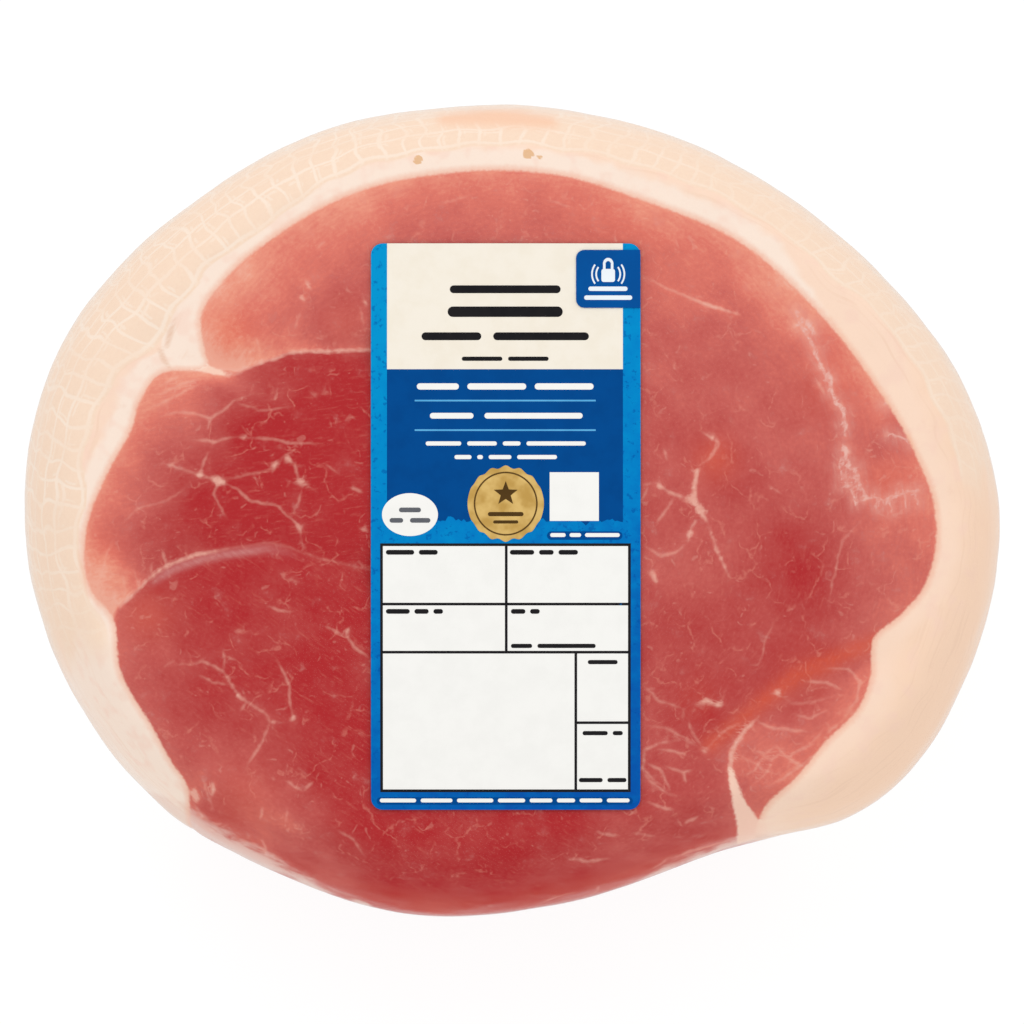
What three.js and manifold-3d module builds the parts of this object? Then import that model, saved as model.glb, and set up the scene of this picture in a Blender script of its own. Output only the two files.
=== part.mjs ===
// A boneless gammon joint as it is sold: a thick round of cured pork, cut flat at the front and the back,
// in a tight clear film with a paper label. It lies on its back cut face with the labelled face up. Rind and
// fat wrap the lean from the lower left, over the crown, to the lower right, and leave it bare underneath.
// Millimetres and degrees, +Z up, +Y towards the rind's crown, origin on the floor under the middle.
import * as THREE from "three";
import { mergeVertices } from "three/addons/utils/BufferGeometryUtils.js";
import Module from "manifold-3d";

// Driving dimensions of the joint
const HEIGHT = 80; // from the back cut face to the middle of the front one
const WIDEST_AT = 36; // height of the widest section, a little low because the meat sags
const WIDEST_SWING = 3; // how much higher that section runs on the rind's thick side
const THICK_SIDE = 40; // direction of that side
const DOME = 5; // how far the front face falls from its middle to the silhouette
const BACK_INSET = 12; // how far the flat back stays inside the silhouette

// The silhouette at the widest section, as [direction, radius]. The dent near 290 is where the bare lean
// meets the fold of fat.
const OUTLINE = [
  [0, 94.9], [15, 91.7], [30, 86.5], [45, 82.4], [60, 80.3], [80, 79.0], [100, 80.2], [120, 83.6],
  [135, 86.7], [150, 91.0], [160, 94.0], [172, 95.2], [188, 94.8], [205, 92.4], [220, 89.4], [235, 84.8],
  [250, 81.8], [262, 80.0], [275, 77.3], [290, 76.5], [301, 77.6], [309, 81.5], [318, 89.0], [325, 92.3],
  [340, 94.3],
];

// How far the rim of the front cut face lies inside the silhouette, as [direction, distance]. The rind
// turns over a tight rim, and the bare lean below rolls over softly.
const FRONT_INSET = [
  [0, 10], [60, 10], [100, 10.5], [150, 13], [190, 12.5], [225, 14], [265, 17], [295, 15], [330, 13],
];

// Where the lean ends and the fat begins, as [direction, radius]. Past the silhouette the lean is bare.
const LEAN_FRONT = [
  [0, 81.3], [9, 77.8], [21, 73.1], [36, 69.5], [50, 67.6], [66, 64.8], [82, 65.2], [102, 66.3],
  [116, 68.2], [130, 69.5], [141, 70.8], [148, 70.2], [152, 66.5], [155, 64.4], [158, 71.5],
  [163, 74.2], [168, 74.6], [174, 77.6], [183, 82.0], [190, 82.5], [195, 79.2], [202, 81.2],
  [211, 80.5], [216, 81.2], [221, 82.4], [227, 94], [245, 104], [270, 108], [290, 104], [302, 92],
  [305.5, 79.5], [309.5, 74.8], [317, 74.5], [324, 74.6], [330, 76.4], [335, 75.9], [341, 73.5],
  [345, 77.0], [350, 80.6],
];
const LEAN_BACK = [
  [0, 76], [30, 71], [60, 66], [90, 63], [120, 67], [150, 72], [180, 78], [210, 77], [222, 82], [232, 96],
  [250, 106], [285, 106], [300, 94], [309, 79], [325, 72], [345, 73],
];

// Seams between the large muscles, as lines on the front face. Each lies in a shallow valley.
const SEAM_DEPTH = 0.9;
const SEAM_WIDTH = 3.5;
const SEAMS = [
  [[-58.6, 27.9], [-52.9, 26.8], [-42.4, 30.6], [-27, 31], [-6, 30.6]],
  [[-76.4, -20.3], [-69.1, -11.5], [-54.8, -6.7], [-38.5, -7.3], [-17.5, -12], [-7.9, -16.8]],
  [[68.5, -29.3], [53.2, -36.9], [42.7, -43.6], [41.4, -50.3], [45.2, -60]],
];

// The label and the sticker flush with its right edge. Both follow the front face.
const LABEL = { x: -1.2, y: -2.8, width: 51.6, height: 108.4, corner: 2.2, thickness: 0.3, rings: 7 };
const STICKER = { x: 18.4, y: 44.6, width: 12.3, height: 11.1, corner: 1.2, thickness: 0.2, rings: 2 };
const GAP = 0.3; // clear space between touching pieces
const MERGE_WITHIN = 1e-4; // corners closer than this are one corner
const OVERSHOOT = 5; // how far the column that cuts out the lean stands out of the joint

// Fineness of the meshes
const COLUMNS = 108;
const FACE_RINGS = 14;
const SIDE_RINGS = 6;
const BACK_RINGS = 4;
const SPLIT_COLUMNS = 150;
const CORNER_STEPS = 3;
const EDGE_STEP = 9;

const radians = THREE.MathUtils.degToRad;
const wrap = (angle) => ((angle % 360) + 360) % 360;

// A smooth closed curve through [direction, value] pairs, as a function of the direction.
function around(knots) {
  const count = knots.length;
  const knot = (i) => {
    const [direction, value] = knots[((i % count) + count) % count];
    return [direction + 360 * Math.floor(i / count), value];
  };
  const rise = (i) => (knot(i + 1)[1] - knot(i)[1]) / (knot(i + 1)[0] - knot(i)[0]);
  const slope = (i) => (rise(i - 1) + rise(i)) / 2;
  return (direction) => {
    let i = count - 1;
    while (i > 0 && knot(i)[0] > wrap(direction)) i -= 1;
    const span = knot(i + 1)[0] - knot(i)[0];
    const t = (wrap(direction) - knot(i)[0]) / span;
    const start = (1 + 2 * t) * (1 - t) ** 2 * knot(i)[1] + t * (1 - t) ** 2 * span * slope(i);
    const end = t * t * (3 - 2 * t) * knot(i + 1)[1] + t * t * (t - 1) * span * slope(i + 1);
    return start + end;
  };
}

const outline = around(OUTLINE);
const frontInset = around(FRONT_INSET);
const widestAt = (direction) => WIDEST_AT + WIDEST_SWING * Math.cos(radians(direction - THICK_SIDE));

function distanceToLine(x, y, points) {
  const place = new THREE.Vector3(x, y, 0);
  const nearest = new THREE.Vector3();
  const distances = points.slice(1).map((end, i) => {
    const side = new THREE.Line3(new THREE.Vector3(...points[i], 0), new THREE.Vector3(...end, 0));
    return side.closestPointToPoint(place, true, nearest).distanceTo(place);
  });
  return Math.min(...distances);
}

// Height of the front half's surface over a point, from the domed cut face down to the widest section.
function frontHeight(x, y, seamDepth = SEAM_DEPTH) {
  const direction = THREE.MathUtils.radToDeg(Math.atan2(y, x));
  const radius = Math.hypot(x, y);
  const reach = outline(direction);
  const inset = frontInset(direction);
  const past = Math.min(Math.max((radius - (reach - inset)) / inset, 0), 1);
  const seams = SEAMS.map((line) => Math.exp(-((distanceToLine(x, y, line) / SEAM_WIDTH) ** 2)));
  const face = HEIGHT - DOME * (radius / reach) ** 2 - seamDepth * Math.max(...seams);
  const middle = widestAt(direction);
  return middle + (face - middle) * Math.sqrt(1 - past * past);
}

// One closed skin over a stack of rings of equal count, with a point at each end.
function skinOver(first, rings, last) {
  const count = rings[0].length;
  const corner = (ring, i) => 1 + ring * count + (i % count);
  const end = 1 + rings.length * count;
  const index = [];
  for (let i = 0; i < count; i += 1) {
    index.push(0, corner(0, i), corner(0, i + 1));
    for (let ring = 1; ring < rings.length; ring += 1) {
      index.push(corner(ring - 1, i), corner(ring, i), corner(ring, i + 1));
      index.push(corner(ring - 1, i), corner(ring, i + 1), corner(ring - 1, i + 1));
    }
    index.push(corner(rings.length - 1, i), end, corner(rings.length - 1, i + 1));
  }
  return new THREE.BufferGeometry().setFromPoints([first, ...rings.flat(), last]).setIndex(index);
}

// A ring of points round the middle, where place(direction) gives [radius, height].
function ringOf(count, place) {
  return Array.from({ length: count }, (_, i) => {
    const direction = (360 * i) / count;
    const [radius, height] = place(direction);
    const [x, y] = [Math.cos(radians(direction)), Math.sin(radians(direction))];
    return new THREE.Vector3(radius * x, radius * y, height);
  });
}

// The whole joint: domed front face, rounded rim, bulging side and flat back.
function jointGeometry() {
  const rings = [];
  const frontRing = (radiusAt) => {
    const flat = ringOf(COLUMNS, (direction) => [radiusAt(direction), 0]);
    rings.push(flat.map((p) => p.setZ(frontHeight(p.x, p.y))));
  };
  for (let i = 1; i <= FACE_RINGS; i += 1) {
    frontRing((d) => (i / FACE_RINGS) * (outline(d) - frontInset(d)));
  }
  for (let i = 1; i <= SIDE_RINGS; i += 1) {
    const turn = radians((90 * i) / SIDE_RINGS);
    frontRing((d) => outline(d) - frontInset(d) * (1 - Math.sin(turn)));
  }
  for (let i = SIDE_RINGS - 1; i >= 0; i -= 1) {
    const turn = radians((90 * i) / SIDE_RINGS);
    rings.push(ringOf(COLUMNS, (d) => {
      return [outline(d) - BACK_INSET * (1 - Math.sin(turn)), widestAt(d) * (1 - Math.cos(turn))];
    }));
  }
  for (let i = BACK_RINGS - 1; i >= 1; i -= 1) {
    rings.push(ringOf(COLUMNS, (d) => [(i / BACK_RINGS) * (outline(d) - BACK_INSET), 0]));
  }
  return skinOver(new THREE.Vector3(0, 0, frontHeight(0, 0)), rings, new THREE.Vector3(0, 0, 0));
}

// The column that holds the lean, from below the back to above the front, grown outwards by an amount.
function leanColumnGeometry(grow) {
  const ringFrom = (knots, height) => {
    const radius = around(knots);
    const ring = ringOf(SPLIT_COLUMNS, (direction) => [radius(direction), height]);
    return ring.map((point, i) => {
      const before = ring.at(i - 1);
      const after = ring[(i + 1) % ring.length];
      const outwards = new THREE.Vector3(after.y - before.y, before.x - after.x, 0).normalize();
      return point.clone().addScaledVector(outwards, grow);
    });
  };
  const front = ringFrom(LEAN_FRONT, HEIGHT + OVERSHOOT);
  const back = ringFrom(LEAN_BACK, -OVERSHOOT);
  const middle = (height) => new THREE.Vector3(0, 0, height);
  return skinOver(middle(HEIGHT + OVERSHOOT), [front, back], middle(-OVERSHOOT));
}

// The outline of a rectangle with round corners, as evenly spaced points about its own middle.
function roundedRectangle({ width, height, corner }) {
  const shape = new THREE.Shape();
  const [right, top] = [width / 2, height / 2];
  const quarter = Math.PI / 2;
  shape.absarc(right - corner, top - corner, corner, 0, quarter);
  shape.absarc(corner - right, top - corner, corner, quarter, 2 * quarter);
  shape.absarc(corner - right, corner - top, corner, 2 * quarter, 3 * quarter);
  shape.absarc(right - corner, corner - top, corner, 3 * quarter, 4 * quarter);
  const corners = shape.getPoints(CORNER_STEPS);
  return corners.flatMap((point, i) => {
    const next = corners[(i + 1) % corners.length];
    const steps = Math.ceil(point.distanceTo(next) / EDGE_STEP);
    return Array.from({ length: steps }, (_, k) => point.clone().lerp(next, k / steps));
  });
}

// A thin sheet that lies a clearance above the front face and bridges its seams.
function sheetGeometry(sheet, clearance) {
  const rim = roundedRectangle(sheet);
  const place = (point, lift) => {
    const [x, y] = [sheet.x + point.x, sheet.y + point.y];
    return new THREE.Vector3(x, y, frontHeight(x, y, 0) + lift);
  };
  const ring = (share, lift) => rim.map((point) => place(point.clone().multiplyScalar(share), lift));
  const shares = Array.from({ length: sheet.rings }, (_, i) => (i + 1) / sheet.rings);
  const upper = clearance + sheet.thickness;
  const rings = [
    ...shares.map((share) => ring(share, upper)),
    ...shares.reverse().map((share) => ring(share, clearance)),
  ];
  const middle = new THREE.Vector2(0, 0);
  return skinOver(place(middle, upper), rings, place(middle, clearance));
}

const wasm = await Module();
wasm.setup();

function toSolid(geometry) {
  const merged = mergeVertices(geometry, MERGE_WITHIN);
  const mesh = new wasm.Mesh({
    numProp: 3,
    vertProperties: merged.attributes.position.array,
    triVerts: new Uint32Array(merged.index.array),
  });
  return new wasm.Manifold(mesh);
}

function toGeometry(solid) {
  const { vertProperties, triVerts } = solid.getMesh();
  return new THREE.BufferGeometry()
    .setAttribute("position", new THREE.BufferAttribute(new Float32Array(vertProperties), 3))
    .setIndex(new THREE.BufferAttribute(new Uint32Array(triVerts), 1));
}

function piece(name, geometry, color, roughness) {
  geometry.computeVertexNormals();
  const material = new THREE.MeshStandardMaterial({ color, roughness, metalness: 0 });
  const mesh = new THREE.Mesh(geometry, material);
  mesh.name = name;
  return mesh;
}

const joint = toSolid(jointGeometry());
const lean = joint.intersect(toSolid(leanColumnGeometry(0)));
const rindAndFat = joint.subtract(toSolid(leanColumnGeometry(GAP)));

const gammonJoint = new THREE.Group();
gammonJoint.add(
  piece("lean", toGeometry(lean), 0xb9474a, 0.45),
  piece("rind_and_fat", toGeometry(rindAndFat), 0xf6dcc4, 0.5),
  piece("label", sheetGeometry(LABEL, GAP), 0xf3f1ea, 0.55),
  piece("security_sticker", sheetGeometry(STICKER, 2 * GAP + LABEL.thickness), 0x004f9f, 0.5),
);

export default gammonJoint;
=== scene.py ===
"""A boneless gammon joint in tight clear film, lying on its back cut face, seen from straight above.

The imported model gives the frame. The lean and the rind with its fat are replaced by finer solids of the
same form, cut from one skin, with the marbling, the seams between the muscles and the marks of the net in
them. The film, the printed label and the sticker lie on top. Sizes are in millimetres and degrees until a
mesh is made.
"""
import math
import random
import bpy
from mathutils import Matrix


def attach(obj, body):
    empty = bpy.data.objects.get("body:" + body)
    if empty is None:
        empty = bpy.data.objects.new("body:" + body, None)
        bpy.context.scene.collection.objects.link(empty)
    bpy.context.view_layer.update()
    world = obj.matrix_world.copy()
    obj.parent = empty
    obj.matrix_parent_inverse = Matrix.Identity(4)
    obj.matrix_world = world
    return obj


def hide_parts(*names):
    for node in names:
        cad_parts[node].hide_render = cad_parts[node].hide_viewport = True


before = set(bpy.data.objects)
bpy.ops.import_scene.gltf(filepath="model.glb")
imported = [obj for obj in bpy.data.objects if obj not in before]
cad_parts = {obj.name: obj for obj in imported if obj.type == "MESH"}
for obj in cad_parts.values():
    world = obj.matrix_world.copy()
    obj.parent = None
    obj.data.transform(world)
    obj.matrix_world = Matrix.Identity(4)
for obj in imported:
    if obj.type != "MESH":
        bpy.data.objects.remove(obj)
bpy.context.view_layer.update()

from types import SimpleNamespace

import bpy
import numpy as np
from mathutils import Vector

MM = 0.001

# ---------------------------------------------------------------------------------------------------------
# The joint's form. The values are the solids' own, but for more points in the lower seam and a rounder
# corner of the sticker.
# ---------------------------------------------------------------------------------------------------------
HEIGHT = 80
WIDEST_AT = 36
WIDEST_SWING = 3
THICK_SIDE = 40
DOME = 5
BACK_INSET = 12

OUTLINE = [
    (0, 94.9), (15, 91.7), (30, 86.5), (45, 82.4), (60, 80.3), (80, 79.0), (100, 80.2), (120, 83.6),
    (135, 86.7), (150, 91.0), (160, 94.0), (172, 95.2), (188, 94.8), (205, 92.4), (220, 89.4), (235, 84.8),
    (250, 81.8), (262, 80.0), (275, 77.3), (290, 76.5), (301, 77.6), (309, 81.5), (318, 89.0), (325, 92.3),
    (340, 94.3),
]
FRONT_INSET = [
    (0, 10), (60, 10), (100, 10.5), (150, 13), (190, 12.5), (225, 14), (265, 17), (295, 15), (330, 13),
]
LEAN_FRONT = [
    (0, 81.3), (9, 77.8), (21, 73.1), (36, 69.5), (50, 67.6), (66, 64.8), (82, 65.2), (102, 66.3),
    (116, 68.2), (130, 69.5), (141, 70.8), (148, 70.2), (152, 66.5), (155, 64.4), (158, 71.5), (163, 74.2),
    (168, 74.6), (174, 77.6), (183, 82.0), (190, 82.5), (195, 79.2), (202, 81.2), (211, 80.5), (216, 81.2),
    (221, 82.4), (227, 94), (245, 104), (270, 108), (290, 104), (302, 92), (305.5, 79.5), (309.5, 74.8),
    (317, 74.5), (324, 74.6), (330, 76.4), (335, 75.9), (341, 73.5), (345, 77.0), (350, 80.6),
]
LEAN_BACK = [
    (0, 76), (30, 71), (60, 66), (90, 63), (120, 67), (150, 72), (180, 78), (210, 77), (222, 82), (232, 96),
    (250, 106), (285, 106), (300, 94), (309, 79), (325, 72), (345, 73),
]

# The seams between the large muscles, on the cut face
SEAM_DEPTH = 0.9
SEAM_WIDTH = 3.5
UPPER_SEAM = [(-58.6, 27.9), (-52.9, 26.8), (-42.4, 30.6), (-27, 31), (-6, 30.6)]
LOWER_SEAM = [
    (-76.4, -20.3), (-75.6, -18.5), (-72.6, -15.7), (-69.5, -12.6), (-65.7, -10.1), (-59.8, -8), (-54, -6.9),
    (-46.9, -5.9), (-42.7, -6.7), (-36.6, -9), (-17.5, -13), (-7.9, -16.8),
]
CORNER_SEAM = [(68.5, -29.3), (53.2, -36.9), (42.7, -43.6), (41.4, -50.3), (45.2, -60)]

# The label and the sticker, by their middles on the cut face
LABEL = {"x": -1.2, "y": -2.8, "width": 51.6, "height": 108.4, "corner": 2.2}
STICKER = {"x": 18.4, "y": 44.6, "width": 12.3, "height": 11.1, "corner": 1.6}
LABEL_LIFT = 0.3
LABEL_THICKNESS = 0.3
STICKER_LIFT = LABEL_LIFT + LABEL_THICKNESS + 0.05
STICKER_THICKNESS = 0.2

# ---------------------------------------------------------------------------------------------------------
# Curves and fields
# ---------------------------------------------------------------------------------------------------------


def around(knots):
    """A smooth closed curve through (direction, value) pairs, as a function of directions in degrees."""
    start = knots[0][0]
    turns = np.concatenate([[direction + turn for direction, _ in knots] for turn in (-360, 0, 360, 720)])
    values = np.tile([value for _, value in knots], 4)
    rise = np.diff(values) / np.diff(turns)
    slope = np.concatenate([rise[:1], (rise[:-1] + rise[1:]) / 2, rise[-1:]])

    def at(direction):
        direction = np.mod(np.asarray(direction, float) - start, 360) + start
        i = np.searchsorted(turns, direction, side="right") - 1
        span = turns[i + 1] - turns[i]
        t = (direction - turns[i]) / span
        begin = (1 + 2 * t) * (1 - t) ** 2 * values[i] + t * (1 - t) ** 2 * span * slope[i]
        end = t * t * (3 - 2 * t) * values[i + 1] + t * t * (t - 1) * span * slope[i + 1]
        return begin + end

    return at


outline = around(OUTLINE)
front_inset = around(FRONT_INSET)
lean_front = around(LEAN_FRONT)
lean_back = around(LEAN_BACK)


def widest_at(direction):
    return WIDEST_AT + WIDEST_SWING * np.cos(np.radians(direction - THICK_SIDE))


def smooth(low, high, value):
    """0 below low, 1 above high, and a soft step between."""
    t = np.clip((value - low) / (high - low), 0, 1)
    return t * t * (3 - 2 * t)


def polar(x, y):
    return np.degrees(np.arctan2(y, x)), np.hypot(x, y)


def along_line(x, y, points):
    """Signed distance to a line of points, and how far along it the nearest place is, past the ends too."""
    best = np.full(np.shape(x), np.inf)
    signed = np.full(np.shape(x), np.inf)
    place = np.zeros(np.shape(x))
    done = 0.0
    last = len(points) - 2
    for i, ((ax, ay), (bx, by)) in enumerate(zip(points, points[1:])):
        length = math.hypot(bx - ax, by - ay)
        ux, uy = (bx - ax) / length, (by - ay) / length
        run = (x - ax) * ux + (y - ay) * uy
        low = -np.inf if i == 0 else 0.0
        high = np.inf if i == last else length
        inside = np.clip(run, 0, length)
        gap = np.hypot(x - ax - inside * ux, y - ay - inside * uy)
        side = (x - ax) * uy - (y - ay) * ux
        free = (run >= low) & (run <= high)
        value = np.where(free, side, np.sign(side) * gap)
        nearer = gap < best
        best = np.where(nearer, gap, best)
        signed = np.where(nearer, value, signed)
        place = np.where(nearer, done + np.clip(run, low, high), place)
        done += length
    return signed, place, best


# How many waves, each in its own direction, make up a field of ripples
CROSSING_WAVES = 14


def ripples(points, wavelength, seed):
    """A smooth random field of about unit size, with one wavelength, anywhere in space."""
    draw = np.random.default_rng(seed)
    directions = draw.normal(size=(CROSSING_WAVES, 3))
    directions /= np.linalg.norm(directions, axis=1)[:, None]
    lengths = wavelength * draw.uniform(0.75, 1.35, CROSSING_WAVES)
    phases = draw.uniform(0, 2 * math.pi, CROSSING_WAVES)
    total = np.zeros(len(points))
    for direction, length, phase in zip(directions, lengths, phases):
        total += np.sin(points @ direction * (2 * math.pi / length) + phase)
    return total * math.sqrt(2 / CROSSING_WAVES)


def waves(points, layers):
    """Ripples over one another, each as (height, wavelength, seed)."""
    return sum(height * ripples(points, wavelength, seed) for height, wavelength, seed in layers)


def front_height(x, y, seam_depth=SEAM_DEPTH):
    """Height of the front half of the skin over a point."""
    direction, radius = polar(x, y)
    reach = outline(direction)
    inset = front_inset(direction)
    past = np.clip((radius - (reach - inset)) / inset, 0, 1)
    seams = [np.exp(-((along_line(x, y, line)[2] / SEAM_WIDTH) ** 2)) for line in
             (UPPER_SEAM, LOWER_SEAM, CORNER_SEAM)]
    face = HEIGHT - DOME * (radius / reach) ** 2 - seam_depth * np.max(seams, axis=0)
    middle = widest_at(direction)
    return middle + (face - middle) * np.sqrt(1 - past * past)


def under_label(x, y, margin):
    """1 under the label, falling to 0 over a margin outside its edges."""
    across = np.abs(x - LABEL["x"]) - LABEL["width"] / 2
    along = np.abs(y - LABEL["y"]) - LABEL["height"] / 2
    return 1 - smooth(0, margin, np.maximum(across, along))


def past_lean(points):
    """Distance outside the column that holds the lean, in the plane, negative inside the lean."""
    direction, radius = polar(points[:, 0], points[:, 1])
    share = np.clip(points[:, 2] / HEIGHT, 0, 1)
    edge = lean_back(direction) * (1 - share) + lean_front(direction) * share
    step = 0.5
    ahead = lean_back(direction + step) * (1 - share) + lean_front(direction + step) * share
    slant = (ahead - edge) / (np.radians(step) * edge) * np.exp(-(((radius - edge) / 5) ** 2))
    return (radius - edge) / np.sqrt(1 + slant**2)


# ---------------------------------------------------------------------------------------------------------
# Where a point lies on the rind: how far round it, and how far down from the rim of the cut face
# ---------------------------------------------------------------------------------------------------------
TYPICAL_INSET = 12
TYPICAL_DROP = 38


def quarter_arc(inset, drop):
    """Lengths along a quarter ellipse, against the angle from its level end."""
    turn = np.linspace(0, math.pi / 2, 181)
    steps = np.hypot(np.diff(inset * np.sin(turn)), np.diff(drop * np.cos(turn)))
    return turn, np.concatenate([[0], np.cumsum(steps)])


ARC_TURN, ARC_LENGTH = quarter_arc(TYPICAL_INSET, TYPICAL_DROP)
ROUND_DIRECTION = np.linspace(-90, 270, 1441)
ROUND_STEPS = np.hypot(
    np.diff(outline(ROUND_DIRECTION) * np.cos(np.radians(ROUND_DIRECTION))),
    np.diff(outline(ROUND_DIRECTION) * np.sin(np.radians(ROUND_DIRECTION))),
)
ROUND_LENGTH = np.concatenate([[0], np.cumsum(ROUND_STEPS)])


def on_rind(points):
    """(distance round the joint from its lowest point in the picture, distance down from the rim)."""
    direction, radius = polar(points[:, 0], points[:, 1])
    direction = np.mod(direction + 90, 360) - 90
    round_it = np.interp(direction, ROUND_DIRECTION, ROUND_LENGTH)
    reach = outline(direction)
    inset = front_inset(direction)
    middle = widest_at(direction)
    past = (radius - (reach - inset)) / inset
    upper = np.interp(np.arcsin(np.clip(past, 0, 1)), ARC_TURN, ARC_LENGTH)
    upper = np.where(past < 0, radius - (reach - inset), upper)
    rise = np.clip(1 - points[:, 2] / middle, 0, 1)
    lower = ARC_LENGTH[-1] + np.interp(np.arcsin(rise), ARC_TURN, ARC_LENGTH)
    return round_it, np.where(points[:, 2] >= middle, upper, lower)


# The marks that the net left in the rind
NET_WIDTH = 4.5
NET_HEIGHT = 4.9
NET_DEPTH = 0.13
NET_LINE = 0.45
# How far down from the rim of the cut face the net begins, by direction
net_start = around([(0, 3), (60, 2.6), (90, 2.3), (120, 1.0), (138, -0.4), (146, -1.2),
                    (152, -2.6), (158, -1.6), (166, 0.4), (175, 1.1), (200, 1), (270, 2)])
NET_FROM, NET_TO = 3, 197
# How its lines stray, in squares, as (height, wavelength, seed) of ripples
NET_STRAY_ACROSS = [(0.17, 22, 5), (0.09, 8, 6)]
NET_STRAY_ALONG = [(0.10, 26, 7), (0.08, 9, 8)]
NET_SLANT = 0.10
NET_CUSHION = 0.06


def net_place(points):
    """Net squares as coordinates: whole numbers are its lines. And how strongly the net shows there."""
    round_it, down = on_rind(points)
    direction = np.mod(np.degrees(np.arctan2(points[:, 1], points[:, 0])) + 90, 360) - 90
    across = round_it / NET_WIDTH + waves(points, NET_STRAY_ACROSS) + NET_SLANT * (down / NET_HEIGHT)
    along = (down - net_start(direction)) / NET_HEIGHT + waves(points, NET_STRAY_ALONG)
    strength = smooth(NET_FROM - 6, NET_FROM + 10, direction) * smooth(NET_TO + 6, NET_TO - 12, direction)
    strength = strength * (0.6 + 0.4 * smooth(60, 95, direction))
    strength = strength * smooth(-0.25, 0.0, along) * (0.75 + 0.25 * np.clip(ripples(points, 13, 9), -1, 1))
    return across, along, strength


# Low waves of the meat's skin on the cut faces and on the sides, as (height, wavelength, seed)
FACE_WAVES = [(0.14, 17, 1), (0.05, 6.5, 2)]
SIDE_WAVES = [(0.09, 34, 3), (0.03, 12, 4)]
SIDE_SINK = 0.12
# The groove between lean and fat
GROOVE_DEPTH = 0.20
GROOVE_WIDTH = 0.7


def relief(points, normals, netted=True):
    """How far the meat's skin stands out of its plain form."""
    x, y, z = points.T
    calm = 1 - under_label(x, y, 7)
    side = np.clip(1 - np.abs(normals[:, 2]), 0, 1)
    off_the_floor = smooth(0.2, 2.5, z)
    swell = calm * waves(points, FACE_WAVES) * (1 - 0.7 * side)
    swell = swell + side * (waves(points, SIDE_WAVES) - SIDE_SINK)
    edge = past_lean(points)
    groove = -GROOVE_DEPTH * np.exp(-((edge / GROOVE_WIDTH) ** 2)) * calm * (1 - sheet_share(x, y, FANS, 2))
    if not netted:
        return off_the_floor * (swell + groove)
    across, along, strength = net_place(points)
    to_line = np.minimum(
        np.abs(across - np.round(across)) * NET_WIDTH,
        np.abs(along - np.round(along)) * NET_HEIGHT,
    )
    net = strength * smooth(0, 1.5, edge) * (NET_CUSHION - NET_DEPTH * np.exp(-((to_line / NET_LINE) ** 2)))
    return off_the_floor * (swell + groove + net)


# ---------------------------------------------------------------------------------------------------------
# Meshes of the whole skin, as rings from the middle of the front to the middle of the back
# ---------------------------------------------------------------------------------------------------------


def arc_turns(inset, drop, steps):
    """Angles along a quarter ellipse that advance by the given steps of length, up to a right angle."""
    turn, length = quarter_arc(inset, drop)
    places = np.cumsum(steps)
    places = places[places < length[-1] - steps[-1] / 2]
    return np.append(np.interp(places, length, turn), math.pi / 2)


TYPICAL_RADIUS = 75
TYPICAL_BACK_RADIUS = 70
HALVING_RADIUS = 45
FEWEST_COLUMNS = 30


def columns_at(share, full):
    """Columns of a ring at a share of the face: halved each time that the radius falls by half."""
    count = full
    while share * TYPICAL_RADIUS < HALVING_RADIUS * count / full and count > FEWEST_COLUMNS:
        count //= 2
    return count


def skin_rings(full, face_step, side_steps, lower_step, back_step):
    """Rings of points from the top of the skin to its bottom."""
    rings = []

    def ring(count, place):
        direction = np.arange(count) * (360 / count)
        radius, height = place(direction)
        x = radius * np.cos(np.radians(direction))
        y = radius * np.sin(np.radians(direction))
        z = front_height(x, y) if height is None else height
        rings.append(np.stack([x, y, z + 0 * x], axis=1))

    face_rings = round((outline(90) - front_inset(90)) / face_step)
    for i in range(1, face_rings + 1):
        share = i / face_rings
        ring(columns_at(share, full), lambda d: (share * (outline(d) - front_inset(d)), None))
    for turn in arc_turns(TYPICAL_INSET, TYPICAL_DROP, side_steps):
        ring(full, lambda d: (outline(d) - front_inset(d) * (1 - math.sin(turn)), None))
    lower = arc_turns(BACK_INSET, WIDEST_AT, np.full(200, lower_step))[::-1][1:]
    for turn in np.append(lower, 0):
        ring(full // 2, lambda d: (
            outline(d) - BACK_INSET * (1 - math.sin(turn)),
            widest_at(d) * (1 - math.cos(turn)),
        ))
    back_rings = round(TYPICAL_BACK_RADIUS / back_step)
    for i in range(back_rings - 1, 0, -1):
        share = i / back_rings
        ring(columns_at(share, full // 4), lambda d: (share * (outline(d) - BACK_INSET), 0))
    return rings


def between(inner, outer, inner_count, outer_count):
    """Faces between two rings of the same count, or where one has twice the other's."""
    count = min(inner_count, outer_count)
    i = np.arange(count)
    j = (i + 1) % count
    if inner_count == outer_count:
        return [np.stack([inner + i, outer + i, outer + j, inner + j], axis=1)]
    if outer_count > inner_count:
        even, odd, after = outer + 2 * i, outer + 2 * i + 1, outer + 2 * j
        near, far = inner + i, inner + j
        return [
            np.stack([near, even, odd], axis=1),
            np.stack([near, odd, far], axis=1),
            np.stack([far, odd, after], axis=1),
        ]
    even, odd, after = inner + 2 * i, inner + 2 * i + 1, inner + 2 * j
    near, far = outer + i, outer + j
    return [
        np.stack([even, near, odd], axis=1),
        np.stack([odd, near, far], axis=1),
        np.stack([odd, far, after], axis=1),
    ]


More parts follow.
